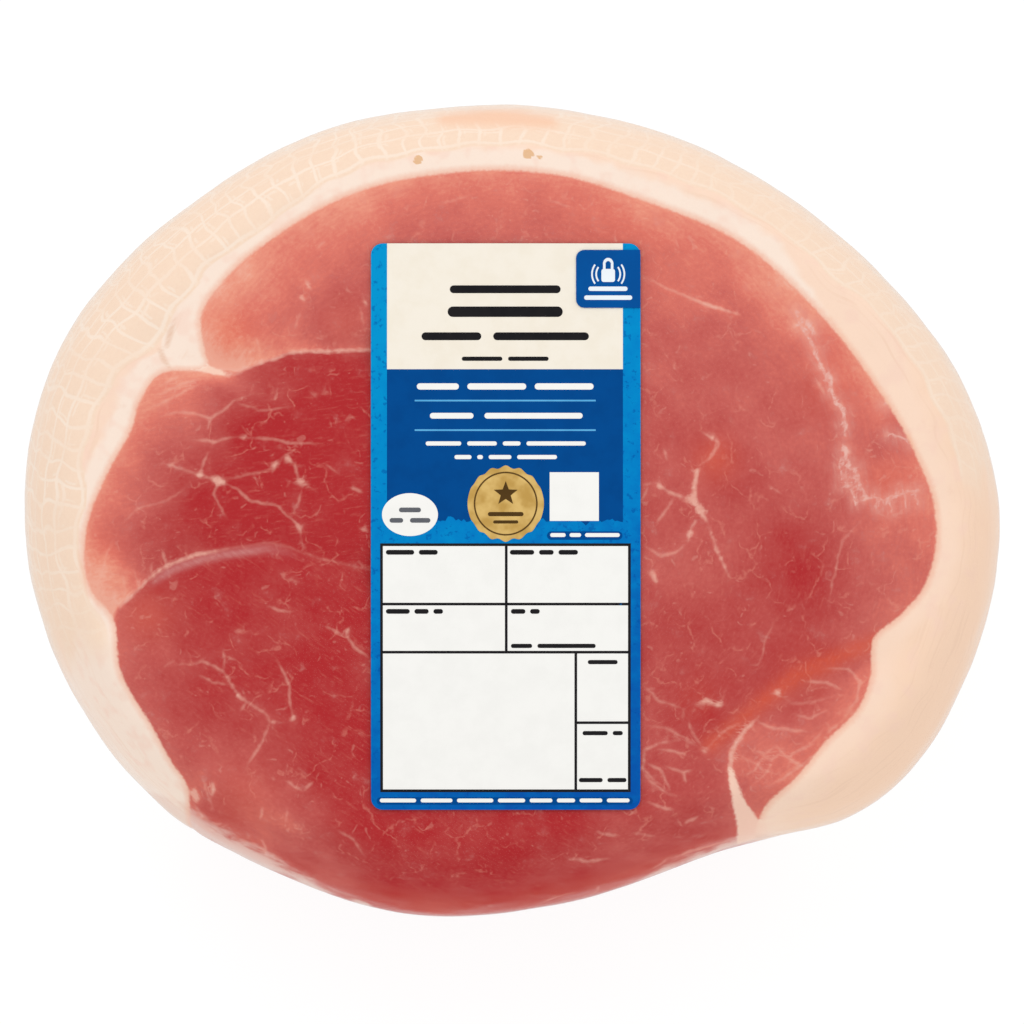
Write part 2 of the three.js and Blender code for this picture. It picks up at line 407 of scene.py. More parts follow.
def closed_skin(rings):
    """Vertices and faces of a closed skin over rings, with a point at each end."""
    top = rings[0].mean(axis=0)
    bottom = rings[-1].mean(axis=0)
    starts = np.cumsum([1] + [len(ring) for ring in rings])
    vertices = np.concatenate([[top], *rings, [bottom]])
    faces = []
    i = np.arange(len(rings[0]))
    faces += np.stack([0 * i, 1 + i, 1 + (i + 1) % len(i)], axis=1).tolist()
    for start, after, ring, following in zip(starts, starts[1:], rings, rings[1:]):
        for block in between(start, after, len(ring), len(following)):
            faces += block.tolist()
    i = np.arange(len(rings[-1]))
    last = starts[-2]
    faces += np.stack([last + i, 0 * i + starts[-1], last + (i + 1) % len(i)], axis=1).tolist()
    return vertices, faces


def mesh_object(name, vertices, faces):
    mesh = bpy.data.meshes.new(name)
    mesh.from_pydata(np.asarray(vertices, float).tolist(), [], faces)
    mesh.update()
    made = bpy.data.objects.new(name, mesh)
    bpy.context.scene.collection.objects.link(made)
    return made


def coordinates(mesh):
    values = np.empty(3 * len(mesh.vertices), np.float32)
    mesh.vertices.foreach_get("co", values)
    return values.reshape(-1, 3).astype(float)


def move_vertices(mesh, points):
    mesh.vertices.foreach_set("co", np.asarray(points, np.float32).ravel())
    mesh.update()


def vertex_normals(mesh):
    values = np.empty(3 * len(mesh.vertices), np.float32)
    mesh.vertex_normals.foreach_get("vector", values)
    return values.reshape(-1, 3).astype(float)


def cut(whole, cutter, operation, name):
    """The part of a closed mesh inside or outside another one, as a new object."""
    piece = whole.copy()
    piece.data = whole.data.copy()
    piece.name = piece.data.name = name
    bpy.context.scene.collection.objects.link(piece)
    boolean = piece.modifiers.new("cut", "BOOLEAN")
    boolean.operation = operation
    boolean.solver = "MANIFOLD"
    boolean.object = cutter
    bpy.context.view_layer.update()
    result = bpy.data.meshes.new_from_object(piece.evaluated_get(bpy.context.evaluated_depsgraph_get()))
    piece.modifiers.clear()
    piece.data = result
    return piece


def lean_column():
    """The column that holds the lean, from below the back to above the front."""
    count = 720
    direction = np.arange(count) * (360 / count)
    heights = np.linspace(-4, HEIGHT + 4, 12)
    rings = []
    for height in heights[::-1]:
        share = np.clip(height / HEIGHT, 0, 1)
        radius = lean_back(direction) * (1 - share) + lean_front(direction) * share
        x = radius * np.cos(np.radians(direction))
        y = radius * np.sin(np.radians(direction))
        rings.append(np.stack([x, y, 0 * x + height], axis=1))
    return mesh_object("column", *closed_skin(rings))


# ---------------------------------------------------------------------------------------------------------
# The lean's pattern: fat veins, short fibres, and how deep each muscle's red is
# ---------------------------------------------------------------------------------------------------------
# Fat veins on the cut face, as a half width and points. Left of the label, between the two seams.
LEFT_VEINS = [
    (0.62, [(-56.6, 6.0), (-55.2, 5.6)]),
    (0.30, [(-55.9, 5.9), (-59.8, 7.1), (-63.2, 8.4), (-66.6, 9.4), (-68.5, 8.8)]),
    (0.30, [(-55.9, 5.9), (-51.1, 7.1), (-46.6, 8.0), (-45.2, 9.4)]),
    (0.34, [(-45.2, 9.4), (-43.3, 10.9), (-41.4, 8.4), (-40.8, 5.9), (-38.7, 4.6), (-37.0, 3.4)]),
    (0.26, [(-55.9, 5.9), (-52.3, 4.2), (-49.8, 2.1), (-45.2, 1.3), (-42.4, -1.2), (-40.8, -2.9),
            (-40.2, -5.4)]),
    (0.18, [(-55.9, 5.9), (-57.1, 3.4), (-55.9, 1.0), (-54.4, -1.5)]),
    (0.20, [(-59.8, 7.1), (-59.0, 9.2), (-58.2, 11.7)]),
    (0.16, [(-61.5, 5.9), (-63.2, 3.8), (-66.4, 2.1), (-71.8, 0.6), (-75.2, -2.9)]),
    (0.20, [(-40.2, 4.2), (-40.8, 1.7), (-42.0, -0.8)]),
    (0.18, [(-43.3, 10.9), (-41.2, 12.0)]),
    (0.24, [(-61.5, 13.8), (-57.3, 13.4), (-52.7, 14.5)]),
    (0.34, [(-52.7, 14.5), (-50.6, 14.2)]),
    (0.24, [(-50.6, 14.2), (-47.0, 14.0), (-41.6, 13.2), (-36.6, 13.2)]),
    (0.24, [(-68.5, 22.1), (-64.0, 24.2), (-59.4, 25.6)]),
    (0.20, [(-70.6, 19.4), (-66.0, 21.2), (-62.0, 23.6), (-58.2, 25.2)]),
    (0.18, [(-67.8, 24.0), (-63.4, 26.0)]),
    (0.22, [(-68.5, 18.0), (-64.0, 19.1), (-60.8, 18.9), (-57.7, 17.8), (-53.3, 21.2), (-49.4, 22.8)]),
    (0.16, [(-57.7, 17.8), (-58.4, 15.6)]),
    (0.16, [(-53.3, 21.2), (-47.8, 19.4), (-41.5, 20.3)]),
    (0.30, [(-36.4, 22.6), (-35.0, 22.9)]),
    (0.16, [(-47.5, 17.5), (-46.8, 17.1)]),
    (0.20, [(-44.8, 24.0), (-45.5, 21.2)]),
    (0.34, [(-40.6, -5.2), (-39.4, -7.4)]),
    (0.16, [(-36.0, 9.5), (-32.8, 7.0)]),
    (0.24, [(-31.0, 4.6), (-28.4, 3.6)]),
]
# Below the lower seam, left of the label
LOWER_VEINS = [
    (0.34, [(-75.2, -19.1), (-76.4, -14.9)]),
    (0.34, [(-73.9, -17.4), (-74.5, -11.5)]),
    (0.34, [(-71.4, -15.3), (-72.4, -10.7)]),
    (0.30, [(-69.1, -13.6), (-69.1, -9.2)]),
    (0.24, [(-65.7, -11.5), (-67.2, -6.9)]),
    (0.16, [(-76.4, -5.2), (-77.8, -9.0), (-79.2, -13.6)]),
    (0.34, [(-66.4, -29.6), (-63.2, -29.1), (-59.2, -28.7), (-55.4, -30.4), (-53.6, -33.1), (-52.1, -35.6),
            (-49.4, -37.1), (-47.3, -38.4), (-46.2, -40.2), (-43.3, -40.5), (-41.8, -39.4)]),
    (0.24, [(-41.8, -39.4), (-42.5, -36.7), (-42.5, -33.5), (-43.7, -30.6), (-45.2, -28.1)]),
    (0.22, [(-46.2, -40.2), (-47.7, -43.8), (-50.2, -47.6), (-51.1, -49.5)]),
    (0.20, [(-53.6, -33.1), (-57.3, -32.7), (-60.1, -31.0)]),
    (0.18, [(-55.4, -30.4), (-54.9, -28.1), (-55.4, -26.0)]),
    (0.20, [(-54.9, -27.5), (-52.6, -28.4)]),
    (0.20, [(-50.6, -36.4), (-52.0, -38.2)]),
    (0.28, [(-31.3, -22.2), (-31.6, -23.9), (-29.5, -26.4), (-27.4, -27.9)]),
    (0.20, [(-31.6, -23.9), (-35.9, -21.8)]),
    (0.26, [(-43.3, -51.6), (-39.9, -53.3)]),
    (0.24, [(-39.9, -53.3), (-38.0, -51.6)]),
    (0.22, [(-47.0, -17.8), (-44.6, -19.0), (-41.6, -19.0)]),
    (0.30, [(-43.4, -12.8), (-40.4, -13.4)]),
    (0.44, [(-61.5, -57.2), (-59.6, -58.8), (-58.2, -60.0)]),
    (0.24, [(-58.2, -60.0), (-55.7, -60.0)]),
    (0.34, [(-63.9, -52.2), (-61.6, -54.6)]),
    (0.30, [(-59.4, -50.4), (-58.2, -54.5), (-57.4, -57.2)]),
    (0.24, [(-48.0, -62.4), (-47.2, -67.8)]),
    (0.22, [(-47.9, -56.2), (-48.3, -59.2)]),
    (0.20, [(-43.0, -56.8), (-43.4, -59.6)]),
    (0.18, [(-33.8, -60.8), (-30.6, -62.6), (-28.0, -66.4)]),
]
# Right of the label
RIGHT_VEINS = [
    (0.34, [(24.6, 5.2), (27.2, 5.7)]),
    (0.40, [(27.2, 5.7), (31.3, 3.1), (34.7, 2.5)]),
    (0.66, [(34.7, 2.5), (35.1, 6.9), (35.8, 8.6)]),
    (0.40, [(35.8, 8.6), (38.1, 10.7), (39.5, 13.2), (37.4, 14.7), (35.7, 15.9)]),
    (0.78, [(34.7, 2.5), (35.9, 0.4), (37.4, -1.9)]),
    (0.46, [(37.4, -1.9), (38.9, -6.7), (40.2, -9.4), (41.8, -13.0)]),
    (0.24, [(31.3, 3.1), (29.5, 0.4), (27.6, -2.7)]),
    (0.26, [(35.5, -1.5), (34.3, -3.6)]),
    (0.36, [(34.3, -3.6), (33.6, -5.9)]),
    (0.26, [(33.6, -5.9), (31.6, -7.5), (28.4, -8.4), (25.3, -6.3)]),
    (0.56, [(26.9, -11.7), (27.6, -13.8)]),
    (0.20, [(24.6, 2.0), (26.0, 5.0)]),
    (0.22, [(29.0, 12.2), (29.8, 9.8)]),
    (0.24, [(24.6, 45.3), (30.0, 42.6), (37.0, 39.9), (43.7, 37.7)]),
    (0.46, [(33.4, 41.2), (38.6, 39.2), (43.4, 37.8)]),
    (0.24, [(60.0, 22.3), (58.2, 25.2)]),
    (0.16, [(68.0, -0.4), (63.2, -5.5), (61.3, -13.8), (60.5, -19.5)]),
    (0.18, [(49.0, 5.2), (51.5, 3.4)]),
    (0.16, [(50.6, -20.0), (48.4, -24.8), (47.0, -30.0)]),
]
# The broken white web near the right edge
WEB_VEINS = [
    (0.36, [(54.2, 38.6), (57.4, 31.9), (62.0, 21.4)]),
    (0.62, [(56.0, 36.6), (58.0, 34.2)]),
    (0.56, [(60.6, 26.8), (62.0, 21.4), (63.6, 17.6), (63.9, 14.6)]),
    (0.70, [(63.4, 12.8), (63.8, 10.4)]),
    (0.30, [(63.6, 10.6), (62.2, 9.0), (63.2, 6.8), (65.2, 3.8)]),
    (0.34, [(63.8, 10.0), (65.9, 7.5), (67.6, 3.2)]),
    (0.62, [(65.2, 3.8), (65.8, 1.2)]),
    (0.34, [(67.6, 3.2), (71.4, 2.3), (74.5, 3.4), (78.1, 4.2)]),
    (0.26, [(62.3, 9.0), (65.7, 8.3)]),
    (0.26, [(62.9, 7.0), (66.4, 6.2)]),
    (0.26, [(64.2, 5.2), (67.0, 4.7)]),
    (0.22, [(70.0, 2.4), (69.9, 0.6)]),
    (0.22, [(72.6, 2.6), (72.9, 0.2)]),
    (0.22, [(75.2, 3.4), (75.6, 0.8)]),
    (0.22, [(77.0, 3.9), (77.6, 1.4)]),
    (0.26, [(72.0, 15.2), (75.8, 14.0)]),
    (0.22, [(70.8, 20.6), (74.6, 21.8)]),
]
# Round the corner seam at the lower right, and in the small muscle behind it
CORNER_VEINS = [
    (0.30, [(24.6, -32.6), (28.1, -36.1), (33.3, -37.9)]),
    (0.34, [(24.9, -49.0), (26.3, -51.3), (28.7, -53.1), (30.7, -54.2)]),
    (0.26, [(50.3, -44.6), (52.8, -47.0), (56.4, -49.2)]),
    (0.80, [(47.4, -39.0), (44.6, -41.8), (42.4, -45.4), (41.8, -49.0), (42.2, -52.4), (43.4, -55.6)]),
    (0.30, [(43.8, -47.2), (47.2, -48.2), (48.6, -50.8)]),
    (0.22, [(46.0, -52.4), (49.0, -49.6), (49.8, -47.4), (52.6, -45.0)]),
    (0.22, [(44.4, -50.4), (46.4, -49.6), (48.0, -47.0), (50.4, -44.4)]),
    (0.22, [(52.6, -49.6), (53.6, -46.4), (56.4, -45.2), (59.6, -41.4)]),
    (0.20, [(53.8, -38.8), (57.2, -39.6), (60.8, -37.6)]),
    (0.34, [(47.4, -53.4), (51.6, -51.2), (56.8, -47.6), (60.8, -44.2)]),
    (0.32, [(33.6, -39.2), (36.0, -36.7), (39.9, -36.7), (41.0, -33.5)]),
    (0.56, [(34.8, -37.4), (37.0, -35.9), (40.2, -36.9)]),
    (0.30, [(33.6, -39.2), (34.5, -42.4), (37.0, -45.9)]),
    (0.34, [(37.0, -45.9), (38.5, -43.8), (41.4, -41.3), (44.4, -40.0)]),
    (0.30, [(25.0, -40.9), (29.0, -41.3), (33.2, -43.4), (37.0, -45.9)]),
    (0.38, [(33.2, -43.4), (29.0, -44.0), (25.3, -45.5), (25.0, -49.1), (27.4, -51.6), (30.3, -53.7)]),
    (0.24, [(27.8, -45.5), (31.0, -45.8), (33.6, -46.7)]),
    (0.26, [(29.3, -48.6), (32.8, -49.9), (34.6, -49.4)]),
    (0.26, [(32.8, -49.9), (33.4, -52.0)]),
    (0.22, [(25.5, -48.0), (28.6, -49.4), (30.3, -53.7)]),
    (0.26, [(59.4, -30.2), (64.3, -30.0), (66.8, -32.5), (65.9, -36.3), (63.4, -39.2)]),
    (0.24, [(56.0, -32.3), (60.5, -32.7), (63.4, -34.2)]),
    (0.30, [(51.3, -35.0), (53.4, -36.7), (58.0, -36.3), (62.2, -35.0)]),
    (0.40, [(50.6, -34.4), (51.6, -35.4)]),
    (0.28, [(46.6, -39.8), (48.9, -41.1), (52.0, -41.7), (56.7, -42.1)]),
    (0.34, [(60.0, -42.6), (62.6, -40.4)]),
    (0.22, [(58.0, -44.4), (54.6, -45.8)]),
    (0.20, [(46.0, -45.6), (48.0, -46.2), (49.2, -47.8)]),
    (0.30, [(22.9, -61.6), (27.9, -62.3)]),
    (0.26, [(16.0, -61.2), (20.4, -62.0)]),
    (0.26, [(25.6, -55.6), (31.2, -57.2)]),
    (0.26, [(33.0, -59.8), (36.0, -58.2)]),
    (0.24, [(10.0, -66.0), (14.6, -67.2), (19.0, -66.4)]),
]
# Faint veins in the crown of the lean, above the label and the upper seam
CROWN_VEINS = [
    (0.34, [(-39.6, 44.8), (-38.2, 42.0)]),
    (0.30, [(-40.6, 41.4), (-39.4, 40.2)]),
    (0.16, [(-40.4, 38.4), (-41.4, 34.8)]),
    (0.16, [(-49.0, 33.8), (-48.2, 30.0)]),
    (0.18, [(-37.4, 50.4), (-35.6, 52.0)]),
    (0.16, [(-8.0, 60.5), (-14.2, 59.0)]),
    (0.16, [(6.2, 59.8), (12.0, 58.2)]),
    (0.16, [(-29.2, 39.4), (-28.4, 35.6)]),
    (0.30, [(-28.6, 41.6), (-27.6, 39.0)]),
]
SEAM_VEINS = [
    (0.6, [(-56.4, 26.8), (-54.2, 26.2), (-52.0, 26.4)]),
    (0.52, UPPER_SEAM),
    (0.52, LOWER_SEAM[:7]),
    (0.20, LOWER_SEAM[6:]),
]
# Fine membranes along the foot of the cut face, where the bare lean rolls over
FOOT_VEINS = [
    (0.44, [(-63.4, -58.2), (-62.0, -60.2), (-59.8, -61.4), (-57.8, -61.4), (-56.2, -60.4)]),
    (0.34, [(-61.8, -55.4), (-60.4, -57.4), (-58.4, -59.6)]),
    (1.2, [(-61.4, -53.6), (-60.7, -54.4), (-60.6, -55.2)]),
    (0.8, [(-57.4, -51.8), (-57.2, -53.2), (-57.7, -54.8)]),
    (0.30, [(-56.0, -60.8), (-52.0, -63.2), (-48.8, -64.4), (-46.0, -66.6), (-41.6, -69.4)]),
    (0.24, [(-51.4, -67.4), (-46.2, -70.0), (-40.4, -72.6)]),
    (0.26, [(42.8, -63.0), (38.4, -64.6), (34.2, -65.6), (30.0, -67.4)]),
    (0.22, [(31.2, -66.0), (27.8, -68.6), (25.0, -71.4)]),
]
FACE_VEINS = LEFT_VEINS + LOWER_VEINS + RIGHT_VEINS + CORNER_VEINS + CROWN_VEINS + FOOT_VEINS

# The muscles as outlines on the cut face. What lies in none of them is the large outer muscle.
LEFT_MUSCLE = [*UPPER_SEAM[::-1], (-64, 26), (-100, 24), (-100, -22), *LOWER_SEAM, (2, -16), (2, 30)]
LOWER_MUSCLE = [*LOWER_SEAM, (8, -22), (16, -50), (20, -100), (-70, -100), (-110, -40)]
CORNER_MUSCLE = [*CORNER_SEAM[::-1], (90, -20), (110, -60), (50, -90)]

# Depth of red in each: 0 is salmon and 1 is deep red. How much paler its rim at the fat is, over how far.
OUTER_RED, LEFT_RED, LOWER_RED, CORNER_RED = 0.62, 1.04, 0.95, 0.45
OUTER_RIM, LEFT_RIM, LOWER_RIM, CORNER_RIM = (0.55, 10), (1.0, 10), (0.50, 6), (0.20, 4)
# How it varies everywhere, as (height, wavelength, seed) of ripples
RED_WAVES = [(0.03, 15, 21), (0.025, 5, 22)]
# Soft patches, as their middle, size and how much deeper (or paler) the red is there; the pale ones at the
# outer muscle's crown are partly a painted highlight
OUTER_PATCHES_AND_HIGHLIGHT = [
    (-50, 42, 14, -0.16), (-34, 58, 9, -0.14), (55, -10, 9, 0.30), (58, -22, 10, 0.16), (34, -30, 15, 0.16),
    (40, 6, 8, 0.10), (28, 44, 14, -0.12), (52, 44, 8, -0.16), (72, 1, 8, -0.15), (30, -58, 12, 0.14),
    (-34, 34, 7, 0.15), (-56, 36, 6, -0.10), (-52, 30, 4, -0.26), (36, -39, 6, 0.20), (52, -28, 8, 0.12),
    (75, 16, 6, 0.36),
]
LEFT_PATCHES = [
    (-61, 21, 7, -0.36), (-48, 12, 10, 0.12), (-76, -14, 7, -0.44), (-36, -2, 9, -0.06), (-73, -1, 5, -0.10),
]
LOWER_PATCHES = [
    (-50, -50, 12, -0.24), (-46, -62, 9, -0.40), (-66, -24, 8, -0.14), (-34, -71, 7, -0.30),
    (-28, -46, 12, 0.06), (12, -70, 9, -0.14), (-12, -78, 6, -0.26),
]
CORNER_PATCHES = [(55, -31, 7, 0.67), (47, -56, 6, 0.05), (64, -36, 7, -0.10)]
# Soft orange patches where the film presses the meat
ORANGE_PATCHES = [
    (39, 10, 4, 0.7), (-54, 34, 5, 0.6), (-32, 36, 5, 0.2), (20, 52, 10, 0.2), (60, 24, 7, 0.3),
    (72, 5, 5, 0.4), (36, -36, 4, 0.2), (-70, -20, 5, 0.4), (-78, -8, 5, 0.3), (-52, -56, 7, 0.3),
    (62, -50, 8, 0.2), (57, -32, 6, 0.22),
]
# The orange seam between the outer muscle and the small one at the corner
ORANGE_SEAM = [(70.5, -24.6), (62.0, -28.0), (54.4, -31.4), (47.2, -37.0), (42.6, -41.0), (38.2, -44.4)]
# Tan stains in the rind at its crown, and the white fat in the fold at the upper left
STAINS = [(-18.0, 67.4, 1.4, 1.6), (3.0, 68.6, 1.6, 1.5), (5.5, 68.0, 0.9, 1.2)]
PALE_FOLD = [(-64.0, 31.5, 5.5, 8.0)]

# How a kind of vein is drawn: the share of its listed half width, how far it strays and how full it ends
THICK_KIND = (0.58, 0.07, (0.25, 0.25))
THIN_KIND = (0.8, 0.07, (0.25, 0.25))
WEB_KIND = (0.5, 0.16, (0.6, 0.6))
SEAM_KIND = (0.62, 0.05, (0.6, 0.4))
# Veins of at least this half width are thick
THICK_VEIN = 0.3
# How far beyond its edge a vein is looked for, and the length of the steps in which it is drawn
VEIN_SEARCH = 2.4
VEIN_STEP = 0.5
# How many segments the twigs and the stray fibres have in all
FIBRES = 230
# The size of the squares into which the points of a mesh are sorted
CELL = 2.0
# For each layer of veins: how far beyond its edge a vein is drawn, how soft its edge is, and from which half
# width on it shows in full
VEIN_LAYERS = {
    "vein_thick": (0.8, 0.30, 0.40), "vein_thin": (0.75, 0.30, 0.20), "vein_twigs": (0.7, 0.36, 0.12),
    "vein_web": (0.6, 0.18, 0.10),
}
# The bare wall, as heights above the floor, and where the veins' coordinates on it begin, round and down
WALL_LOW, WALL_HIGH = 5, 56
WALL_FROM, WALL_DOWN = 60, 60
# The strongest orange of the lean. What is stored above it is a tan stain in the rind.
MOST_ORANGE = 0.9
# Sheets of fat that widen where they join the fat outside, as (half width, x, y) along each
FANS = [
    [(0.5, 42.0, -49.6), (0.8, 42.5, -52.4), (1.1, 43.3, -55.2), (1.5, 44.2, -57.4), (2.1, 45.3, -59.8),
     (2.9, 46.4, -62.4), (3.2, 46.8, -65.0)],
    [(1.3, -63.0, 29.3), (1.0, -60.4, 28.2), (0.7, -57.8, 27.2), (0.4, -55.2, 26.5)],
]
# Folds in the fat, shown by painted shade, and the smooth peach place on the rind's crown, in the same form
FAT_FOLDS = [
    [(0.1, -64.4, 37.4), (0.7, -65.4, 34.4), (0.5, -66.1, 31.8)],
    [(0.5, -67.4, 31.0), (0.6, -66.7, 29.2), (0.2, -65.2, 27.2)],
]
PEACH_PLACE = [[(0.8, -13.0, 75.6), (1.5, -6.0, 76.2), (1.6, 1.0, 76.0), (0.8, 7.4, 75.0)]]
# Knots of fat where veins meet, as (x, y, size)
KNOTS = [
    (-56.3, 6.1, 1.3), (-59.7, 7.3, 0.8), (-65.0, 9.2, 0.6), (-45.4, 9.0, 1.0), (-43.0, 10.0, 0.8),
    (-40.4, 5.5, 0.9), (-51.1, 14.6, 0.7), (-40.7, -3.0, 0.8), (-43.2, 15.7, 0.4), (-37.9, 22.5, 0.6),
    (-30.2, 4.7, 0.5), (-28.2, -3.3, 0.9), (-57.4, 13.2, 0.4), (-58.0, 17.7, 0.5), (-65.3, -8.6, 0.5),
    (-41.8, -39.6, 0.7), (-45.8, -40.0, 0.5), (-52.2, -35.2, 0.5), (-31.4, -22.8, 0.6), (34.8, 2.4, 1.3),
    (28.2, 5.2, 0.8), (34.8, 7.8, 0.8), (38.5, 14.5, 0.7), (35.9, 0.2, 0.9), (34.1, -4.1, 0.6),
    (54.1, 35.6, 0.8), (59.3, 27.8, 0.7), (63.0, 20.4, 0.7), (64.5, 11.5, 0.8), (67.4, 2.6, 0.7),
    (43.0, 38.2, 0.5), (26.7, -12.0, 0.8), (37.0, -45.6, 0.7), (39.8, -36.8, 0.7), (50.6, -34.6, 0.8),
    (-39.0, 43.2, 0.5), (-40.3, 40.8, 0.5), (-28.0, 40.2, 0.4), (34.2, -13.6, 0.4), (27.2, -53.2, 0.5),
]


def wandering(line, draw, sway):
    """A line of points redrawn in short steps that stray a little to either side."""
    points = [line[0]]
    offset = 0.0
    for (ax, ay), (bx, by) in zip(line, line[1:]):
        length = math.hypot(bx - ax, by - ay)
        steps = max(1, round(length / VEIN_STEP))
        for i in range(1, steps + 1):
            offset = 0.55 * offset + draw.gauss(0, sway)
            lean_over = offset if i < steps else 0.4 * offset
            t = i / steps
            points.append((
                ax + (bx - ax) * t - lean_over * (by - ay) / length,
                ay + (by - ay) * t + lean_over * (bx - ax) / length,
            ))
    return points


def knot_swell(x, y):
    """How much wider a vein is at a place because a knot of fat lies there."""
    return max(0.42 * size * math.exp(-((x - at_x) ** 2 + (y - at_y) ** 2) / (0.75 * size) ** 2)
               for at_x, at_y, size in KNOTS)


def tapering(points, half_width, draw, ends):
    """Segments of a vein as (ax, ay, bx, by, width at a, width at b), uneven and thin at its ends."""
    last = len(points) - 1
    reach = max(1, 0.35 * last)
    widths = []
    for i, point in enumerate(points):
        taper = min(1, ends[0] + i / reach, ends[1] + (last - i) / reach)
        widths.append(half_width * taper * draw.uniform(0.62, 1.22) + knot_swell(*point))
    return [(*a, *b, wa, wb) for a, b, wa, wb in zip(points, points[1:], widths, widths[1:])]


def stroll(x, y, heading, length, steps, draw):
    """A short line of points that turns a little at each step."""
    line = [(x, y)]
    for _ in range(steps):
        heading += draw.gauss(0, 0.3)
        x += length / steps * math.cos(heading)
        y += length / steps * math.sin(heading)
        line.append((x, y))
    return line


def sprigs(points, draw, spacing, longest):
    """Fine twigs that leave a vein on both sides."""
    found = []
    gap = draw.uniform(0, spacing)
    for (ax, ay), (bx, by) in zip(points, points[1:]):
        gap -= math.hypot(bx - ax, by - ay)
        if gap > 0:
            continue
        gap = spacing * draw.uniform(0.6, 1.5)
        heading = math.atan2(by - ay, bx - ax) + draw.choice((-1, 1)) * draw.uniform(0.5, 1.3)
        twig = stroll(ax, ay, heading, draw.uniform(0.45, 1) * longest, 3, draw)
        found += tapering(twig, draw.uniform(0.09, 0.14), draw, (1, 0))
    return found


def star(x, y, size, draw):
    """A knot of fat with three short tapering rays."""
    start = draw.uniform(0, 2 * math.pi)
    for k in range(3):
        turn = start + 2 * math.pi * (k + draw.uniform(-0.3, 0.3)) / 3
        reach = size * draw.uniform(0.8, 2.2)
        yield x, y, x + reach * math.cos(turn), y + reach * math.sin(turn), 0.34 * size, 0.03


def in_lean(x, y, margin):
    direction, radius = polar(x, y)
    return radius < min(float(lean_front(direction)), float(outline(direction)) - 3) - margin


def vein(half_width, line, kind, draw):
    """The points of a listed vein as it is drawn, and its segments."""
    share, stray, ends = kind
    points = wandering(line, draw, stray)
    return points, tapering(points, share * half_width, draw, ends)


def stray_fibre(draw):
    """A short fibre somewhere in the lean, or nothing. Fibres run round the joint in its outer muscle."""
    x, y = draw.uniform(-84, 84), draw.uniform(-76, 66)
    if not in_lean(x, y, 1.5):
        return []
    spread = 22 if y > 10 or x > 30 else 50
    heading = math.atan2(y, x) + math.pi / 2 + math.radians(draw.gauss(0, spread))
    line = stroll(x, y, heading, draw.uniform(1.6, 4.6), 2, draw)
    return tapering(line, draw.uniform(0.07, 0.13), draw, (0.3, 0))


def marbling():
    """The fat veins of the cut face, as segments in four layers: thick and thin veins, twigs and the web."""
    draw = random.Random(31)
    thick, thin, twigs, web = [], [], [], []
    for half_width, line in FACE_VEINS:
        if half_width >= THICK_VEIN:
            points, segments = vein(half_width, line, THICK_KIND, draw)
            thick += segments
            twigs += sprigs(points, draw, 3.4, 2.8)
        else:
            thin += vein(half_width, line, THIN_KIND, draw)[1]
    for half_width, line in WEB_VEINS:
        points, segments = vein(half_width, line, WEB_KIND, draw)
        web += segments + sprigs(points, draw, 1.3, 1.5)
    for half_width, line in SEAM_VEINS:
        thick += vein(half_width, line, SEAM_KIND, draw)[1]
    for knot in KNOTS:
        thick += star(*knot, draw)
    while len(twigs) < FIBRES:
        twigs += stray_fibre(draw)
    return thick, thin, twigs, web


class Neighbours:
    """Finds the points near a place in the plane."""

    def __init__(self, x, y):
        columns = np.floor(x / CELL).astype(int)
        rows = np.floor(y / CELL).astype(int)
        self.low = (columns.min(), rows.min())
        self.high = (columns.max(), rows.max())
        self.wide = self.high[0] - self.low[0] + 1
        keys = (rows - self.low[1]) * self.wide + columns - self.low[0]
        self.order = np.argsort(keys, kind="stable")
        cells = self.wide * (self.high[1] - self.low[1] + 1)
        self.starts = np.searchsorted(keys[self.order], np.arange(cells + 1))

    def within(self, left, right, bottom, top):
        first = max(math.floor(left / CELL), self.low[0]) - self.low[0]
        last = min(math.floor(right / CELL), self.high[0]) - self.low[0]
        found = []
        lowest = max(math.floor(bottom / CELL), self.low[1])
        highest = min(math.floor(top / CELL), self.high[1])
        for row in range(lowest, highest + 1):
            base = (row - self.low[1]) * self.wide
            if last >= first:
                found.append(self.order[self.starts[base + first]:self.starts[base + last + 1]])
        return np.concatenate(found) if found else np.zeros(0, int)


def nearest_vein(x, y, segments, neighbours, reach):
    """For each point, the way to the nearest vein, its half width or 0 out of reach, and its glow."""
    way = np.full((len(x), 2), VEIN_SEARCH)
    width = np.zeros(len(x))
    beyond = np.full(len(x), VEIN_SEARCH)
    for ax, ay, bx, by, wa, wb in segments:
        search = VEIN_SEARCH + max(wa, wb)
        near = neighbours.within(
            min(ax, bx) - search, max(ax, bx) + search, min(ay, by) - search, max(ay, by) + search,
        )
        length = math.hypot(bx - ax, by - ay) or 1e-6
        ux, uy = (bx - ax) / length, (by - ay) / length
        run = np.clip((x[near] - ax) * ux + (y[near] - ay) * uy, 0, length)
        dx, dy = x[near] - ax - run * ux, y[near] - ay - run * uy
        half = wa + (wb - wa) * run / length
        past = np.hypot(dx, dy) - half
        closer = past < beyond[near]
        chosen = near[closer]
        beyond[chosen] = past[closer]
        way[chosen] = np.stack([dx, dy], axis=1)[closer]
        width[chosen] = half[closer]
    glow = np.exp(-np.maximum(beyond, 0) / 0.7) * np.clip(width / THICK_VEIN, 0, 1)
    return way, width * smooth(reach, 0.45 * reach, beyond), glow


